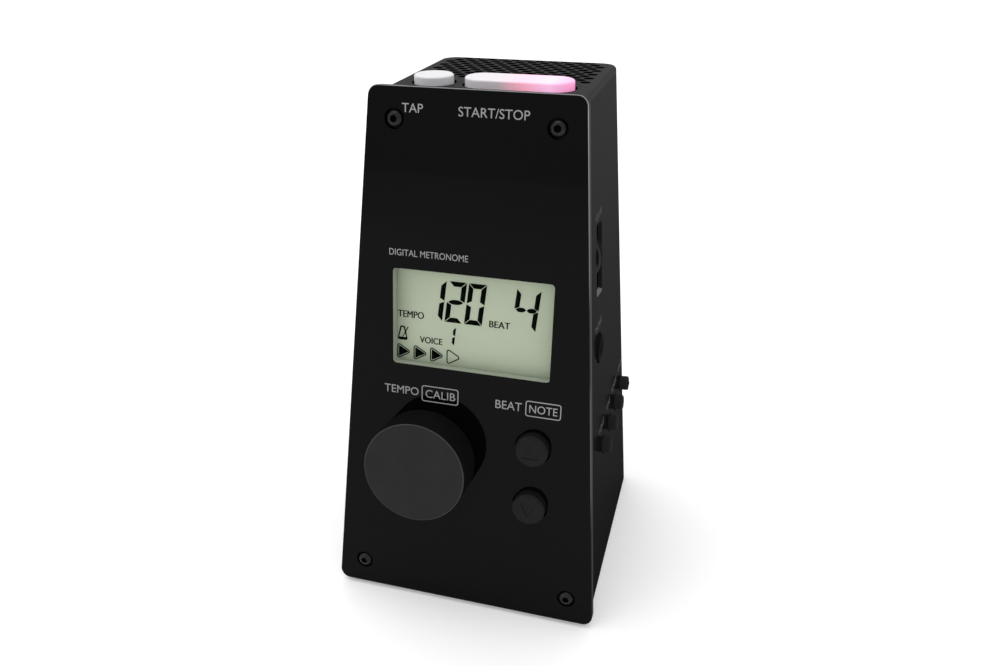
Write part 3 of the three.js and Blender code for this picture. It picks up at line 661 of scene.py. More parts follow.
def skin_depth(spot):
    """How far a point of the CASE frame lies under the case's outer skin."""
    half, rear = outer_half(spot.z), shell_high.y
    across, back = abs(spot.x) - (half - CORNER), spot.y - (rear - CORNER)
    if across > 0 and back > 0:
        wall = CORNER - math.hypot(across, back)
    else:
        wall = min(half - abs(spot.x), rear - spot.y)
    by_roof = under_edge(wall, shell_high.z - spot.z, ROOF_EDGE)
    by_sole = under_edge(wall, spot.z - shell_low.z, SOLE_EDGE)
    return min(by_roof, by_sole)


to_case, to_slot = CASE.inverted(), wall_place(wheel_y, wheel_z).inverted()


def shell_light_and_shade(middle, normal):
    """Wells and the inside take a painted shade, and the bevel at the slot's mouth takes a painted highlight.
    """
    spot, tilt = to_slot @ middle, to_slot.to_3x3() @ normal
    near_mouth = abs(spot.x) < SLOT["width"] and abs(spot.y) < SLOT["height"] * 0.6
    if not near_mouth or abs(spot.z) >= 0.8:
        return 1 if skin_depth(to_case @ middle) > 0.06 else 0
    if 0.3 < tilt.z < 0.95 and (tilt.x > 0.3 or tilt.y > 0.3):
        return 2
    return 1 if spot.z < -0.76 else 0


shell = finished(rear_shell(), ROW, shell_light_and_shade)
piece("case_shell", shell, [SHELL, PAINTED_SHADE, SLOT_HIGHLIGHT], "case", ["rear_shell"])

# --- the front panel and its lens

panel_high = span("front_panel", PANEL)[1]
PANEL_THICK = panel_high.y
PANEL_CORNER = 2.2
PANEL_BEVEL = 0.16
# Its widths at the foot and the head, up to where its corners would be without their rounding.
PANEL_FOOT = 61.8
PANEL_HEAD = 44.1
display_spot = centre("display_lens", PANEL)
lens_low, lens_high = span("display_lens", PANEL)
WINDOW_GAP = 0.15
WINDOW_WIDE = lens_high.x - lens_low.x + 2 * WINDOW_GAP
WINDOW_TALL = lens_high.z - lens_low.z + 2 * WINDOW_GAP
dial_spot = centre("tempo_dial", PANEL)
beats = {name: centre(f"beat_{name}_button", PANEL) for name in ("up", "down")}
BEAT_RADIUS = 3.65
BEAT_CLEAR = 0.3
DIAL_HOLE = 4.0
SCREW_HOLE = [(1.3, -PANEL_THICK - THROUGH), (1.3, -0.8), (2.0, -0.8), (2.0, -0.1), (2.15, 0.05),
              (2.15, THROUGH)]


def window(extra):
    return rectangle(WINDOW_WIDE + 2 * extra, WINDOW_TALL + 2 * extra, 0.8 + extra)


def front_panel():
    corners = [(-PANEL_FOOT / 2, 0), (PANEL_FOOT / 2, 0),
               (PANEL_HEAD / 2, panel_high.z), (-PANEL_HEAD / 2, panel_high.z)]
    levels = [(-PANEL_THICK, 0), (-PANEL_BEVEL, 0), (0, PANEL_BEVEL)]
    sheet = prism(rounded(corners, PANEL_CORNER, 10), levels, on_panel(0, 0))
    through = [(-PANEL_THICK - THROUGH, 0), (THROUGH, 0)]
    tools = [prism(window(0), through, on_panel(display_spot.x, display_spot.z))]
    tools.append(turned([(DIAL_HOLE, z) for z, _ in through], on_panel(dial_spot.x, dial_spot.z)))
    for spot in beats.values():
        tools.append(flared(circle(BEAT_RADIUS + BEAT_CLEAR, 64), on_panel(spot.x, spot.z), 0.08))
    for spot in screws:
        tools.append(turned(SCREW_HOLE, on_panel(spot.x, spot.z), 48))
    return cut(sheet, *tools)


def panel_painted_light(spot, normal):
    """The window's walls are painted light in the display's colour, and the outer bevel takes a painted
    highlight where it faces up or right.
    """
    near_x = abs(spot.x - display_spot.x) < WINDOW_WIDE / 2 + 0.05
    near_z = abs(spot.z - display_spot.z) < WINDOW_TALL / 2 + 0.05
    if near_x and near_z and abs(normal.y) < 0.5:
        return 2
    half = PANEL_FOOT / 2 + (PANEL_HEAD - PANEL_FOOT) / 2 * spot.z / panel_high.z
    outer = abs(spot.x) > half - 1.5 or spot.z > panel_high.z - 1 or spot.z < 1
    bevelled = outer and -0.9 < normal.y < -0.5
    return 1 if bevelled and (normal.x > 0.2 or normal.z > 0.2) else 0


sheet = finished(front_panel(), PANEL, panel_painted_light)
piece("acrylic_panel", sheet, [GLOSS, EDGE_HIGHLIGHT, WINDOW_LIGHT], "case", ["front_panel"])
lens = prism(window(-0.01), [(-PANEL_THICK, 0), (-0.01, 0)], on_panel(display_spot.x, display_spot.z))
piece("window_lens", lens, [LENS], "case", ["display_lens"])

# --- panel screws

SCREW = {"head": 1.75, "under": 0.7, "top": 0.5, "shank": 1.0, "socket": 0.74}
THREAD_PITCH = 0.4


def button_screw(head, under, top, shank, socket, end, place):
    """A button head screw: a domed head with a hexagon socket, over a threaded shank."""
    dome = arc(0, 0, 1, 15, 62, 8)
    tall = top + under
    profile = [(shank * 0.6, -end), (shank * 0.85, -end + 0.5)]
    for i in range(int((end - under - 0.5) / THREAD_PITCH)):
        height = -end + 0.5 + THREAD_PITCH * i
        profile += [(shank, height + 0.15), (shank, height + 0.25), (shank * 0.82, height + 0.39)]
    profile += [(shank * 0.82, -under), (head - 0.1, -under), (head, -under + 0.12)]
    (wide, foot), crown = dome[0], dome[-1][1]
    for x, y in dome:
        profile.append((head * x / wide, -under + 0.25 + (tall - 0.25) * (y - foot) / (crown - foot)))
    levels = [(top - tall * 0.62, 0), (top - 0.1, 0), (top + 0.05, -0.12), (top + 1, -0.12)]
    screw = cut(turned(profile, place, 48), prism(circle(socket, 6), levels, place))

    # The hexagon socket takes a painted shade.
    def socket_shade(spot, _):
        return 1 if math.hypot(spot.x, spot.y) < socket - 0.02 and -under < spot.z < top - 0.1 else 0

    return finished(screw, place, socket_shade)


for i, (spot, end) in enumerate(zip(screws, screw_ends), 1):
    shape = button_screw(**SCREW, end=end, place=on_panel(spot.x, spot.z) @ turn(17 * i, "Z"))
    piece(f"corner_screw_{i}", shape, [STEEL, PAINTED_SHADE], "case", [f"panel_screw_{i}"])
for i, spot in enumerate(board_screws, 1):
    low, high = span(f"board_screw_{i}", PANEL)
    shape = button_screw(head=(high.x - low.x) / 2, under=low.y + 1.0, top=-low.y, shank=0.85, socket=0.62,
                         end=high.y, place=on_panel(spot.x, spot.z) @ turn(23 * i, "Z"))
    piece(f"board_fixing_{i}", shape, [PLATED, PLATED], "case", [f"board_screw_{i}"])

# --- display

glass_low, glass_high = span("display_glass", PANEL)
GLASS_WIDE, GLASS_TALL = glass_high.x - glass_low.x, glass_high.z - glass_low.z
INK_THICK = 0.03
ON_GLASS = on_panel(0, 0, glass_low.y)
AT_DISPLAY = on_panel(display_spot.x, display_spot.z)
levels = [(-glass_high.y, 0), (-glass_low.y - 0.1, 0), (-glass_low.y, 0.1)]
film = prism(rectangle(GLASS_WIDE, GLASS_TALL, 0.3), levels, AT_DISPLAY)
piece("display_cell", film, [LCD], "case", ["display_glass"])


def bars(wide, tall, bar, gap):
    """The seven bars of a digit, keyed by the usual letters."""
    middle = tall / 2
    upper = [(0, tall - gap), (bar, tall - bar - gap), (bar, middle + bar / 2 + gap), (0, middle + gap)]
    lower = [(x, tall - y) for x, y in upper]
    cap = [(gap, tall), (wide - gap, tall), (wide - bar - gap, tall - bar), (bar + gap, tall - bar)]

    def lens_bar(left, right):
        steps = [k / 4 - 1 for k in range(9)]
        top = [(u, 1 - abs(u) ** 3) for u in steps]
        outline = top + [(u, -v) for u, v in reversed(top[1:-1])]
        return [((left + right) / 2 + u * (right - left) / 2, middle + v * bar / 2) for u, v in outline]

    def mirrored(outline):
        return [(wide - x, y) for x, y in outline]

    end = bar * 0.3
    return {
        "a": [cap], "d": [[(x, tall - y) for x, y in cap]],
        "f": [upper], "e": [lower], "b": [mirrored(upper)], "c": [mirrored(lower)],
        "g": [lens_bar(end, wide - end)],
        "h": [lens_bar(end, wide / 2 - gap / 2), lens_bar(wide / 2 + gap / 2, wide - end)],
    }


DIGITS = {"0": "abcdef", "1": "bc", "2": "abdeg", "4": "bcfh"}
SLANT = 0.105


def digit(figure, left, low, wide, tall, bar):
    """A slanted seven-bar digit as outlines on the display."""
    made = bars(wide, tall, bar, 0.1)
    outlines = [outline for letter in DIGITS[figure] for outline in made[letter]]
    return [[(left + x + SLANT * y, low + y) for x, y in outline] for outline in outlines]


def ring_of(outline, width):
    """An outline and its inner edge, which make a line of that width."""
    return [outline, inset(outline, width)]


def triangle(x, y, wide, tall, radius):
    """A right-pointing triangle."""
    return rounded([(x, y - tall / 2), (x + wide, y), (x, y + tall / 2)], radius, 4)


def metronome_icon(x, y, wide, tall):
    """A little tower with its weighted rod."""
    foot, head = wide * 0.48, wide * 0.2
    middle = x + wide * 0.46
    corners = [(middle - foot, y), (middle + foot, y), (middle + head, y + tall), (middle - head, y + tall)]
    tower = rounded(corners, wide * 0.16, 4)
    hollow = [(middle - foot * 0.66, y + tall * 0.2), (middle + foot * 0.66, y + tall * 0.2),
              (middle + head * 0.45, y + tall * 0.9), (middle - head * 0.45, y + tall * 0.9)]
    return [tower, hollow], [(middle - 0.1, y + tall * 0.22), (middle + 0.12, y + tall * 0.22),
                             (x + wide, y + tall * 0.93), (x + wide - 0.16, y + tall)]


display_z = display_spot.z
OVERPRINT = 0.09


def display_marks():
    """Everything that the display shows, as places from the display's centre."""
    outlines = []
    for figure, left in (("1", -11.0), ("2", -6.5), ("0", -2.1)):
        outlines += digit(figure, left, display_z - 1.1, 3.95, 9.15, 1.08)
    outlines += digit("4", 8.35, display_z - 1.05, 5.2, 9.1, 1.02)
    outlines += digit("1", -6.25, display_z - 6.35, 2.0, 4.3, 0.58)
    for i in range(4):
        left, level = -17.35 + 3.82 * i, display_z - 9.0
        outlines += ring_of(triangle(left, level, 3.45, 4.0, 0.5), 0.24)
        if i < 3:
            outlines.append(triangle(left + 0.4, level, 2.35, 2.56, 0.12))
    tower, rod = metronome_icon(-17.25, display_z - 6.4, 2.55, 3.25)
    outlines += tower
    shapes = [flat(outlines, INK_THICK, ON_GLASS), flat([rod], INK_THICK * 1.3, ON_GLASS)]
    for words, left, right, low, high in (
        ("TEMPO", -17.2, -11.15, -1.15, 0.4),
        ("BEAT", 3.5, 8.1, -1.1, 0.35),
        ("VOICE", -12.1, -6.85, -6.55, -5.1),
    ):
        for nudge, share in ((0.0, 1.0), (OVERPRINT, 0.85)):
            shapes.append(lettering(words, left + nudge, right - OVERPRINT + nudge, display_z + low,
                                    display_z + high, INK_THICK * share, ON_GLASS))
    return merged(shapes)


piece("display_figures", display_marks(), [INK], "case")


def display_frame():
    """The moulded surround that holds the display behind its window."""
    low, high = span("display_frame", PANEL)
    lip, clear = 0.9, 0.4
    outline = rectangle(high.x - low.x, high.z - low.z, 1)
    outer = prism(outline, soft_levels(-high.y, -low.y, 0.2, 0.2, 2), AT_DISPLAY)
    pocket = rectangle(GLASS_WIDE + clear, GLASS_TALL + clear, 0.4)
    tray = cut(outer, prism(pocket, [(-high.y - THROUGH, 0), (-low.y - lip, 0)], AT_DISPLAY))
    opening = [(-low.y - 1.5, 0.6), (-low.y - lip, 0), (THROUGH - low.y, 0)]
    return cut(tray, prism(window(clear), opening, AT_DISPLAY))


def frame_painted_light(spot, normal):
    """The walls of the opening are painted light, like the window's."""
    inside = abs(spot.x) < WINDOW_WIDE / 2 + 0.6 and abs(spot.y) < WINDOW_TALL / 2 + 0.6
    return 1 if inside and abs(normal.z) < 0.8 else 0


surround = finished(display_frame(), AT_DISPLAY, frame_painted_light)
piece("display_surround", surround, [PART, WINDOW_LIGHT], "case", ["display_frame"])

# --- legends

LEGEND_THICK = 0.03
FRONT_LEGENDS = {
    "tap": ("TAP", -14.9, -10.5, 110.55, 112.3),
    "start": ("START/STOP", -3.2, 11.1, 110.35, 112.2),
    "title": ("DIGITAL METRONOME", -17.75, -0.5, 81.45, 82.85),
    "tempo": ("TEMPO", -19.0, -11.05, 50.4, 52.25),
    "calib": ("CALIB", -9.45, -2.63, 50.25, 52.1),
    "beat": ("BEAT", 6.4, 12.2, 50.2, 52.1),
    "note": ("NOTE", 13.85, 19.95, 50.2, 52.0),
}
LEGEND_BOXES = {"calib": (-10.35, -1.92, 49.3, 53.05), "note": (13.0, 20.75, 49.3, 52.9)}
for name, (words, left, right, low, high) in FRONT_LEGENDS.items():
    shapes = [lettering(words, left, right, low, high, LEGEND_THICK, on_panel(0, 0))]
    if name in LEGEND_BOXES:
        left, right, low, high = LEGEND_BOXES[name]
        box = rectangle(right - left, high - low, 0.6, (left + right) / 2, (low + high) / 2, 5)
        shapes.append(flat(ring_of(box, 0.22), LEGEND_THICK, on_panel(0, 0)))
    piece(f"legend_{name}", merged(shapes), [LEGEND], "case")

side_legends = {name: (spot.y - 1.4, spot.z + 6.0, 1.3 * len(name), 1.7)
                for name, spot in buttons.items()}
slot_centre = SIDE.inverted() @ wall_place(wheel_y, wheel_z).translation
hole_centre = SIDE.inverted() @ wall_place(socket_y, socket_z).translation
side_legends["volume"] = (slot_centre.y + 0.6, slot_centre.z + SLOT["height"] / 2 + 2.6, 7.4, 1.5)
side_legends["phones"] = (hole_centre.y + 0.2, hole_centre.z + 5.6, 7.4, 1.5)
for name, (y, z, wide, tall) in side_legends.items():
    shape = lettering(name.upper(), y - wide / 2, y + wide / 2, z - tall / 2, z + tall / 2, LEGEND_THICK,
                      on_side(0, 0))
    piece(f"legend_{name}", shape, [SIDE_LEGEND], "case")

# --- tempo dial and its encoder

dial_low, dial_high = span("tempo_dial", PANEL)
DIAL_RADIUS = (dial_high.x - dial_low.x) / 2


def tempo_dial():
    """A flat-faced dial, hollow behind, on a round hub."""
    front, foot = -dial_low.y, -dial_high.y
    bore, hub, inner = 3.15, 4.6, DIAL_RADIUS - 1.5
    hub_foot, web, bore_end = 0.8, front - 3.6, front - 1.3
    profile = [(bore, bore_end), (bore, hub_foot), (hub, hub_foot), (hub, web), (inner, web), (inner, foot)]
    profile += [(DIAL_RADIUS - 0.15, foot), (DIAL_RADIUS, foot + 0.15)] + rim(DIAL_RADIUS, front, 0.28)
    return turned(profile, on_panel(dial_spot.x, dial_spot.z), 160)


def dial_light_and_shade(_, normal):
    """A plain face, a rim with a painted highlight and a side in painted shade."""
    if normal.y < -0.95:
        return 0
    return 2 if normal.y < -0.5 else 1


knob = finished(tempo_dial(), PANEL, dial_light_and_shade)
piece("dial_knob", knob, [KNOB, SHADED_FLANK, RIM_HIGHLIGHT], "dial", ["tempo_dial"])


def encoder_shaft():
    """A round shaft with a flat and a chamfered end."""
    low, high = span("encoder_shaft", PANEL)
    place = on_panel(dial_spot.x, dial_spot.z)
    radius, chamfer, level = 3, 0.4, 2.3
    shaft = turned([(radius, -high.y), (radius, -low.y - chamfer), (radius - chamfer, -low.y)], place, 64)
    notch = [(-4, level), (4, level), (4, 4), (-4, 4)]
    return cut(shaft, prism(notch, [(0.8, 0), (9, 0)], place))


piece("dial_shaft", encoder_shaft(), [PLATED], "dial", ["encoder_shaft"])

# --- beat buttons

BEAT_EDGE = 0.45
BEAT_STOP = {"stem": 1.6, "stop": 4.7, "back": -3.3, "front": -2.3}
ENGRAVED = 0.16


def beat_button(name, spot):
    low, high = span(f"beat_{name}_button", PANEL)
    top = -low.y
    place = on_panel(spot.x, spot.z)
    profile = stop_flange(BEAT_RADIUS, -high.y, **BEAT_STOP)
    profile += [(BEAT_RADIUS, top - BEAT_EDGE), (BEAT_RADIUS - 0.12, top - BEAT_EDGE + 0.12)]
    profile += [(BEAT_RADIUS - BEAT_EDGE, top - 0.06), (BEAT_RADIUS - BEAT_EDGE - 0.2, top)]
    cap = turned(profile, place, 96)
    way = 1 if name == "up" else -1
    corners = [(-1.95, -1.7 * way), (1.95, -1.7 * way), (0, 1.85 * way)]
    mark = rounded(corners[::way], 0.18, 4)
    return cut(cap, prism(mark, [(top - ENGRAVED, 0.08), (top + 0.5, -0.06)], place))


for name, spot in beats.items():
    piece(f"{name}_button_cap", beat_button(name, spot), [BUTTON], f"beat_{name}",
          [f"beat_{name}_button"])

# --- top buttons and the lit accent

CAP_EDGE = 0.45
CAP_WALL = 1.0
CAP_FOOT = -3.0
SKIRT_LOW, SKIRT_HIGH = -3.3, -2.3
CAP_CEILING = 0.2
CAP_STEM = 1.6


def top_cap(outline, stem_x, top, node):
    """A hollow push button with a skirt that keeps it in, and a stem down to its switch."""
    low = span(node, CASE)[0].z - shell_high.z
    place = on_roof(0, 0)
    cap = prism(outline, soft_levels(CAP_FOOT, top, 0, CAP_EDGE, 6), place)
    skirt = prism(inset(outline, -SKIRT), [(SKIRT_LOW, 0), (SKIRT_HIGH, 0)], place)
    pocket = prism(inset(outline, CAP_WALL), [(CAP_FOOT - THROUGH, 0), (CAP_CEILING, 0)], place)
    stem = turned([(CAP_STEM, low), (CAP_STEM, CAP_CEILING + 0.2)], on_roof(stem_x, caps_y), 32)
    return joined(cut(joined(cap, skirt), pocket), stem)


cap_top = tap_high.z - shell_high.z
start_middle = (start_left + start_right) / 2
tap_shape = top_cap(circle(CAP_RADIUS, 96, tap_x, caps_y), tap_x, cap_top, "tap_button")
piece("tap_cap", tap_shape, [WHITE], "tap", ["tap_button"])
start_outline = stadium(start_left, start_right, CAP_RADIUS, caps_y)
start_shape = top_cap(start_outline, start_middle, cap_top, "start_button")
piece("start_cap", start_shape, [LIT], "start", ["start_button"])
along(LIT, "X", [(start_left, (1, 1, 1)), (start_middle - 3.5, (1, 0.97, 0.98)),
                 (start_middle + 1, (1, 0.74, 0.81)), (start_middle + 6, (1, 0.62, 0.78)),
                 (start_right, (1, 0.48, 0.64))])
along(LIT, "X", [(start_left, (0, 0, 0)), (start_middle - 3.5, (0.02, 0, 0)),
                 (start_middle + 2, (0.5, 0.12, 0.2)), (start_middle + 7, (0.55, 0.3, 0.48)),
                 (start_right, (0.5, 0.12, 0.3))], "Emission Color")

LAMP = {"flange": 1.8, "radius": 1.5, "dome": 1.42}
for name in ("beat", "accent"):
    low, high = span(f"{name}_lamp", CASE)
    tall = high.z - low.z
    profile = [(LAMP["flange"], 0), (LAMP["flange"], 0.45), (LAMP["radius"], 0.5)]
    profile += rim(LAMP["radius"], tall, LAMP["dome"], 8)
    lamp = turned(profile, CASE @ shift((low.x + high.x) / 2, caps_y, low.z), 48)
    piece(f"{name}_lamp_resin", lamp, [RESIN], "case", [f"{name}_lamp"])

# --- side buttons

SIDE_STOP = {"stem": 1.1, "stop": 2.7, "back": -3.1, "front": -2.3}
NUB = {"radius": 0.6, "proud": 0.25, "root": 0.5}


def button_end_shade(_, normal):
    """Button ends take a painted shade, darker than their sides."""
    return 1 if normal.z > 0.7 else 0


def side_button(name, spot):
    """A round button with a stop flange and a stem. The power button has a raised nub."""
    low, high = span(f"{name}_button", SIDE)
    place = on_side(spot.y, spot.z)
    profile = stop_flange(SIDE_RADIUS, low.x, **SIDE_STOP)
    profile += rim(SIDE_RADIUS, high.x, 0.3, 4)
    cap = turned(profile, place, 64)
    if name == "power":
        nub = [(NUB["radius"], high.x - NUB["root"])]
        nub += rim(NUB["radius"], high.x + NUB["proud"], 0.25, 3)
        cap = joined(cap, turned(nub, place, 32))
    return finished(cap, place, button_end_shade)


for name, spot in buttons.items():
    piece(f"{name}_button_cap", side_button(name, spot), [SIDE_BUTTON, SHADED_FLANK], name,
          [f"{name}_button"])

# --- volume wheel

RIBS = 84
RIB_EDGE = 0.35


def ribbed(radius, height):
    """One ring of the wheel's edge, with a shallow groove between ribs."""
    ring = []
    for i in range(RIBS):
        for part, depth in ((0.0, 0.0), (0.45, 0.0), (0.6, 0.2), (0.85, 0.2)):
            angle, reach = 2 * math.pi * (i + part) / RIBS, radius - depth
            ring.append((reach * math.cos(angle), reach * math.sin(angle), height))
    return ring


def wheel_light_and_shade(spot, normal):
    """The bevels of the ribs take a painted highlight, and the rest of the wheel a painted shade."""
    outer = math.hypot(spot.x, spot.y) > WHEEL_RADIUS - 0.4
    return 1 if outer and 0.3 < abs(normal.z) < 0.9 else 0


def volume_wheel():
    place = on_panel(wheel_x, wheel_z, wheel_y)
    half = WHEEL_WIDTH / 2
    sizes = [(WHEEL_RADIUS - RIB_EDGE, -half), (WHEEL_RADIUS, -half + RIB_EDGE),
             (WHEEL_RADIUS, half - RIB_EDGE), (WHEEL_RADIUS - RIB_EDGE, half)]
    wheel = loft([ribbed(radius, height) for radius, height in sizes], place)
    floor_level, past = half - 0.5, half + THROUGH
    groove = [(3.6, floor_level), (WHEEL_RADIUS - 1.6, floor_level), (WHEEL_RADIUS - 1.3, past), (3.4, past)]
    dish = turned(groove, place, 72, closed=True)
    hub = turned([(1.5, half - 0.3), (1.5, wheel_y - wheel_low.y)], place, 32)
    return finished(joined(cut(wheel, dish), hub), place, wheel_light_and_shade)


piece("thumb_wheel", volume_wheel(), [SHADED_FLANK, RIM_HIGHLIGHT], "volume", ["volume_wheel"])

# --- headphone socket


def headphone_socket():
    """A round bushing through the wall, on a block that stands on the main board."""
    low, high = socket_low, socket_high
    out = PANEL @ shift(0, socket_y, socket_z) @ FACING_SIDE
    wall = high.x - 0.6
    ring, bore = SOCKET["ring"], SOCKET["bore"]
    collar = [(ring, wall - 3.0)] + rim(ring, high.x, 0.25, 4)
    collar += [(bore + 0.5, high.x), (bore + 0.35, high.x - 0.12)]
    bushing = turned(collar, out, 64)
    outline = rectangle(high.y - low.y, high.z - low.z, 0.3, 0, 0, 2)
    block = prism(outline, soft_levels(low.x, wall - 2.6, 0.2, 0.2, 2), out)
    mouth = bore + 0.36
    hole = [(bore, low.x + 1.5), (bore, high.x - 0.4), (mouth, high.x + 0.05), (mouth, high.x + THROUGH)]
    return cut(joined(block, bushing), turned(hole, out, 48))


piece("phones_socket", headphone_socket(), [PART], "case", ["headphone_socket"])

# --- loudspeaker

speaker_spot = centre("speaker_basket", CASE)
speaker_top = span("speaker_basket", CASE)[1].z
SPEAKER = CASE @ shift(speaker_spot.x, speaker_spot.y, speaker_top)

BASKET = [(18, 0), (18, -1.2), (17.8, -1.5), (16.2, -1.5), (10.5, -9), (7, -9), (7, -8), (9.9, -8),
          (15.6, -0.7), (15.6, 0)]


def speaker_basket():
    """A ring with a cup behind it and six openings in the cup."""
    opening = rectangle(4.4, 3.6, 0.8, 13.2, 0, 3)
    tools = [prism(opening, [(-12, 0), (-1.9, 0)], SPEAKER @ turn(60 * i + 15, "Z")) for i in range(6)]
    return cut(turned(BASKET, SPEAKER, 96, closed=True), *tools)


def speaker_cone():
    """A pressed cone with a half-round surround and a domed centre."""
    roll = [(14.2 + x, -0.9 + 0.7 * y) for x, y in arc(0, 0, 1.0, 0, 180, 9)]
    dome = [(0.05, -4.3), (1.5, -4.4), (3.0, -4.75), (4.3, -5.5)]
    ribs = [(4.9 + 1.0 * i, -6.0 + 0.56 * i + (0.12 if i % 2 else 0.0)) for i in range(9)]
    top = dome + ribs + list(reversed(roll))
    under = [(15.2, -1.1), (13.2, -1.8), (5, -6.6), (0.05, -6.6)]
    return turned(top + under, SPEAKER, 96)


piece("speaker_frame", speaker_basket(), [DARK_PLATE], "case", ["speaker_basket"])
piece("speaker_paper_cone", speaker_cone(), [PAPER], "case", ["speaker_cone"])
magnet_low, magnet_high = span("speaker_magnet", CASE)
MAGNET_RADIUS = 9
levels = [(MAGNET_RADIUS - move, z) for z, move in soft_levels(magnet_low.z, magnet_high.z, 0.4, 0.4, 3)]
magnet = turned(levels, CASE @ shift(speaker_spot.x, speaker_spot.y, 0), 64)
piece("speaker_magnet_cup", magnet, [MAGNET], "case", ["speaker_magnet"])

# --- battery bay, cells and door


def bay():
    """The open tray that holds the cells."""
    low, high = span("battery_tray", CASE)
    wide, tall, wall = high.x - low.x, high.z - low.z, 1
    middle = (low.x + high.x) / 2, (low.z + high.z) / 2
    place = CASE @ FACING_FRONT
    box = prism(rectangle(wide, tall, 0.6, *middle, 3), soft_levels(-high.y, -low.y, 0, 0.4, 2), place)
    inside = rectangle(wide - 2 * wall, tall - 2 * wall, 0.4, *middle, 3)
    return cut(box, prism(inside, [(-high.y - THROUGH, 0), (-low.y - wall, 0)], place))


piece("cell_tray", bay(), [TRAY], "case", ["battery_tray"])
CELL_CAP = 1.9


def cell_shape(low, high, flip):
    """A small cell along X: a shrink-wrapped can, a raised cap at one end."""
    half, radius = (high.x - low.x) / 2, (high.y - low.y) / 2
    place = CASE @ Matrix.Translation((low + high) / 2) @ turn(-90 if flip else 90, "Y")
    profile = [(CELL_CAP, half), (CELL_CAP, half - 0.9), (3.2, half - 0.95)]
    profile += [(radius - 0.75, half - 1.0), (radius - 0.6, half - 1.25)]
    wrap = [(radius - 0.25, half - 1.05), (radius, half - 1.35), (radius, -half + 0.3), (radius - 0.3, -half)]
    foot = [(radius - 0.7, -half + 0.05), (radius - 0.9, -half + 0.2), (3.2, -half + 0.2), (3.0, -half)]

    def cell_finish(spot, _):
        return 0 if math.hypot(spot.x, spot.y) > radius - 0.45 else 1

    return finished(turned(profile + wrap + foot, place, 64), place, cell_finish)


for i in range(4):
    low, high = span(f"cell_{i + 1}", CASE)
    piece(f"battery_cell_{i + 1}", cell_shape(low, high, i % 2 == 1), [WRAP, PLATED], "case",
          [f"cell_{i + 1}"])
PLATE_INNER, PLATE_OUTER = 23.3, 23.7
COIL = {"steps": 60, "turns": 2.6, "wide": 2.6, "narrow": 1.3, "wire": 0.14, "gap": 0.15, "tall": 0.75}


def contacts(name, side):
    """A sprung contact plate: a strip with a small coil against each cell."""
    low, high = span(f"contact_{name}", CASE)
    outline = rectangle(high.y - low.y, high.z - low.z, 1.2)
    place = CASE @ shift(0, (low.y + high.y) / 2, (low.z + high.z) / 2) @ FACING_SIDE
    start, end = sorted((PLATE_INNER * side, PLATE_OUTER * side))
    shapes = [prism(outline, soft_levels(start, end, 0.1, 0.1, 2), place)]
    for i in range(4):
        spot = centre(f"cell_{i + 1}", CASE)
        coil = []
        for k in range(COIL["steps"] + 1):
            share = k / COIL["steps"]
            angle = 2 * math.pi * COIL["turns"] * share
            reach = COIL["wide"] - (COIL["wide"] - COIL["narrow"]) * share
            x = side * (PLATE_INNER - COIL["gap"] - COIL["tall"] * share)
            coil.append((x, spot.y + reach * math.cos(angle), spot.z + reach * math.sin(angle)))
        shapes.append(wire(coil, COIL["wire"], CASE, 2))
    return merged(shapes)


for name, side in (("left", -1), ("right", 1)):
    piece(f"spring_contact_{name}", contacts(name, side), [PLATED], "case",
          [f"contact_{name}"])


def battery_door():
    """A flush door with grip grooves, a finger notch and an arrow."""
    place = CASE @ shift(0, door_high.y, 0) @ turn(180, "Z") @ FACING_FRONT
    wide, tall, thick = door_high.x - door_low.x, door_high.z - door_low.z, door_high.y - door_low.y
    middle = (door_low.z + door_high.z) / 2
    leaf = prism(rectangle(wide, tall, 0.4, 0, middle, 4), soft_levels(-thick, 0, 0, 0.2, 3), place)
    notch = CASE @ shift(0, door_high.y + 5, door_high.z - 4.7) @ turn(90, "Y")
    tools = [turned([(6.0, -4.5), (6.0, 4.5)], notch, 96)]
    for side in (-1, 1):
        for i in range(5):
            groove = rectangle(9, 0.7, 0.3, side * 12, door_high.z - 3.4 - 1.7 * i, 4)
            tools.append(prism(groove, [(-0.35, 0.12), (0.1, -0.05)], place))
    arrow = [(-1.8, door_low.z + 5.6), (0, door_low.z + 3.4), (1.8, door_low.z + 5.6)]
    tools.append(prism(rounded(arrow, 0.2, 4), [(-0.25, 0.06), (0.1, -0.03)], place))
    return cut(leaf, *tools)


piece("bay_door", battery_door(), [SHELL], "door", ["battery_door"])

# --- feet and leads

for i, spot in enumerate(feet, 1):
    low, high = span(f"foot_{i}", CASE)
    profile = [(FOOT_RADIUS - 0.9, low.z)]
    profile += [(FOOT_RADIUS - move, z) for z, move in soft_levels(low.z, high.z, 0.3, 0, 4)]
    foot = turned(profile, CASE @ shift(spot.x, spot.y, 0), 64)
    piece(f"rubber_foot_{i}", foot, [RUBBER], "case", [f"foot_{i}"])

# --- finishes of the CAD pieces that stay

KEPT = {
    "display_reflector": PLATED, "encoder_body": PLATED, "main_board": BOARD, "top_board": BOARD,
    "side_board": BOARD, "volume_control": PART, "speaker_lead": SLEEVE, "battery_lead": SLEEVE,
}
for name in ("beat_up", "beat_down", "tap", "start", "voice", "tone", "memory", "power"):
    KEPT[f"{name}_switch"] = PART
for name, finish in KEPT.items():
    mesh = frame["nodes"][name].data
    mesh.materials.clear()
    mesh.materials.append(finish)

# --- floor, light and camera

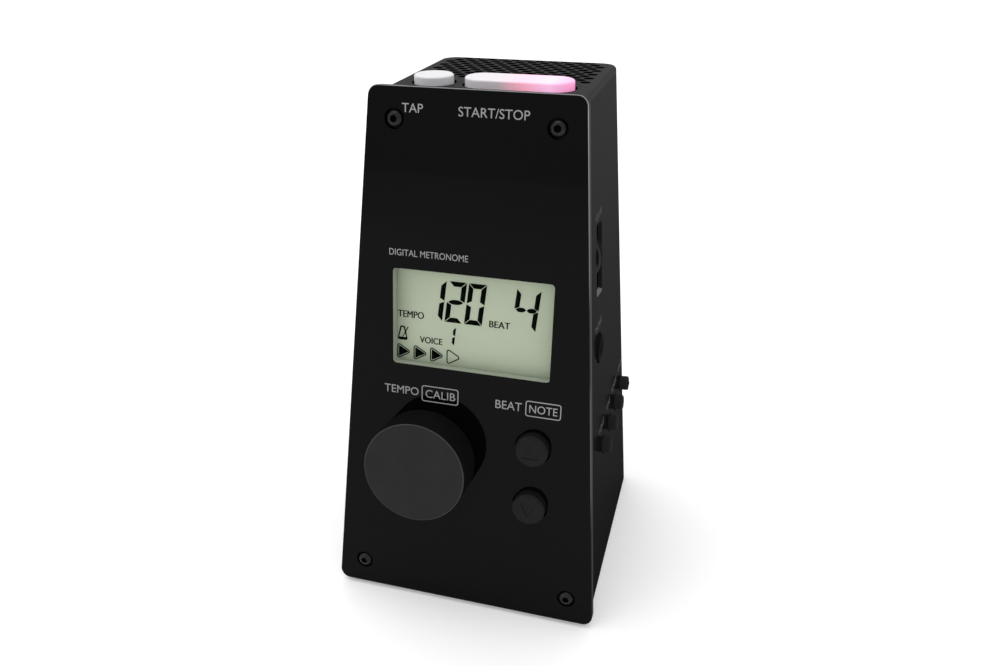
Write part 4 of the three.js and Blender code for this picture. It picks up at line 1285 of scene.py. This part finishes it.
FLOOR_SIZE = 16.0
floor_mesh = bpy.data.meshes.new("floor")
edge = FLOOR_SIZE / 2
floor_corners = [(-edge, -edge, 0), (edge, -edge, 0), (edge, edge, 0), (-edge, edge, 0)]
floor_mesh.from_pydata(floor_corners, [], [(0, 1, 2, 3)])
floor = linked("floor", floor_mesh)
FLOOR = material("pale_floor", (246, 246, 246), 0.9, gloss=0.0, mottle=0.004, mottle_size=900,
                 Emission_Strength=0.15)
floor_mesh.materials.append(FLOOR)

world = bpy.data.worlds.new("soft_studio")
scene.world = world
world.use_nodes = True
sky_tree = world.node_tree
sky_split = add_node(sky_tree, "SeparateXYZ", Vector=add_node(sky_tree, "TexCoord").outputs["Generated"])
sky_ramp = add_node(sky_tree, "ValToRGB", Fac=sky_split.outputs["Z"])
for point, (spot, level) in zip(sky_ramp.color_ramp.elements, ((0.0, 0.8), (0.7, 1.0))):
    point.position = spot
    point.color = (level, level, level, 1)
background = sky_tree.nodes["Background"]
sky_tree.links.new(sky_ramp.outputs["Color"], background.inputs["Color"])
background.inputs["Strength"].default_value = 0.95


def softbox(name, spot, aim, size, power):
    """A square area light that points at a spot near the object."""
    light = bpy.data.lights.new(name, "AREA")
    light.shape = "SQUARE"
    light.size = size
    light.energy = power
    obj = linked(name, light)
    obj.location = spot
    obj.rotation_euler = (Vector(aim) - Vector(spot)).to_track_quat("-Z", "Y").to_euler()


softbox("overhead", (-0.3, 0.2, 1.3), (0, 0, 0.05), 1.2, 6.0)
softbox("front_left", (-0.9, -0.9, 0.7), (0, 0, 0.06), 0.6, 1.5)

camera = bpy.data.cameras.new("photo_view")
camera.sensor_width = 36.0
camera.lens = 30.93
camera.clip_start = 0.005
view = linked("photo_view", camera)
view.matrix_world = (METRES @ shift(49.87, -171.26, 148.14)).normalized() @ turn(15.771, "Z") \
    @ turn(90 - 26.943, "X") @ turn(-0.233, "Z")
scene.camera = view
scene.view_settings.view_transform = "Standard"

# --- the end

bpy.context.view_layer.update()
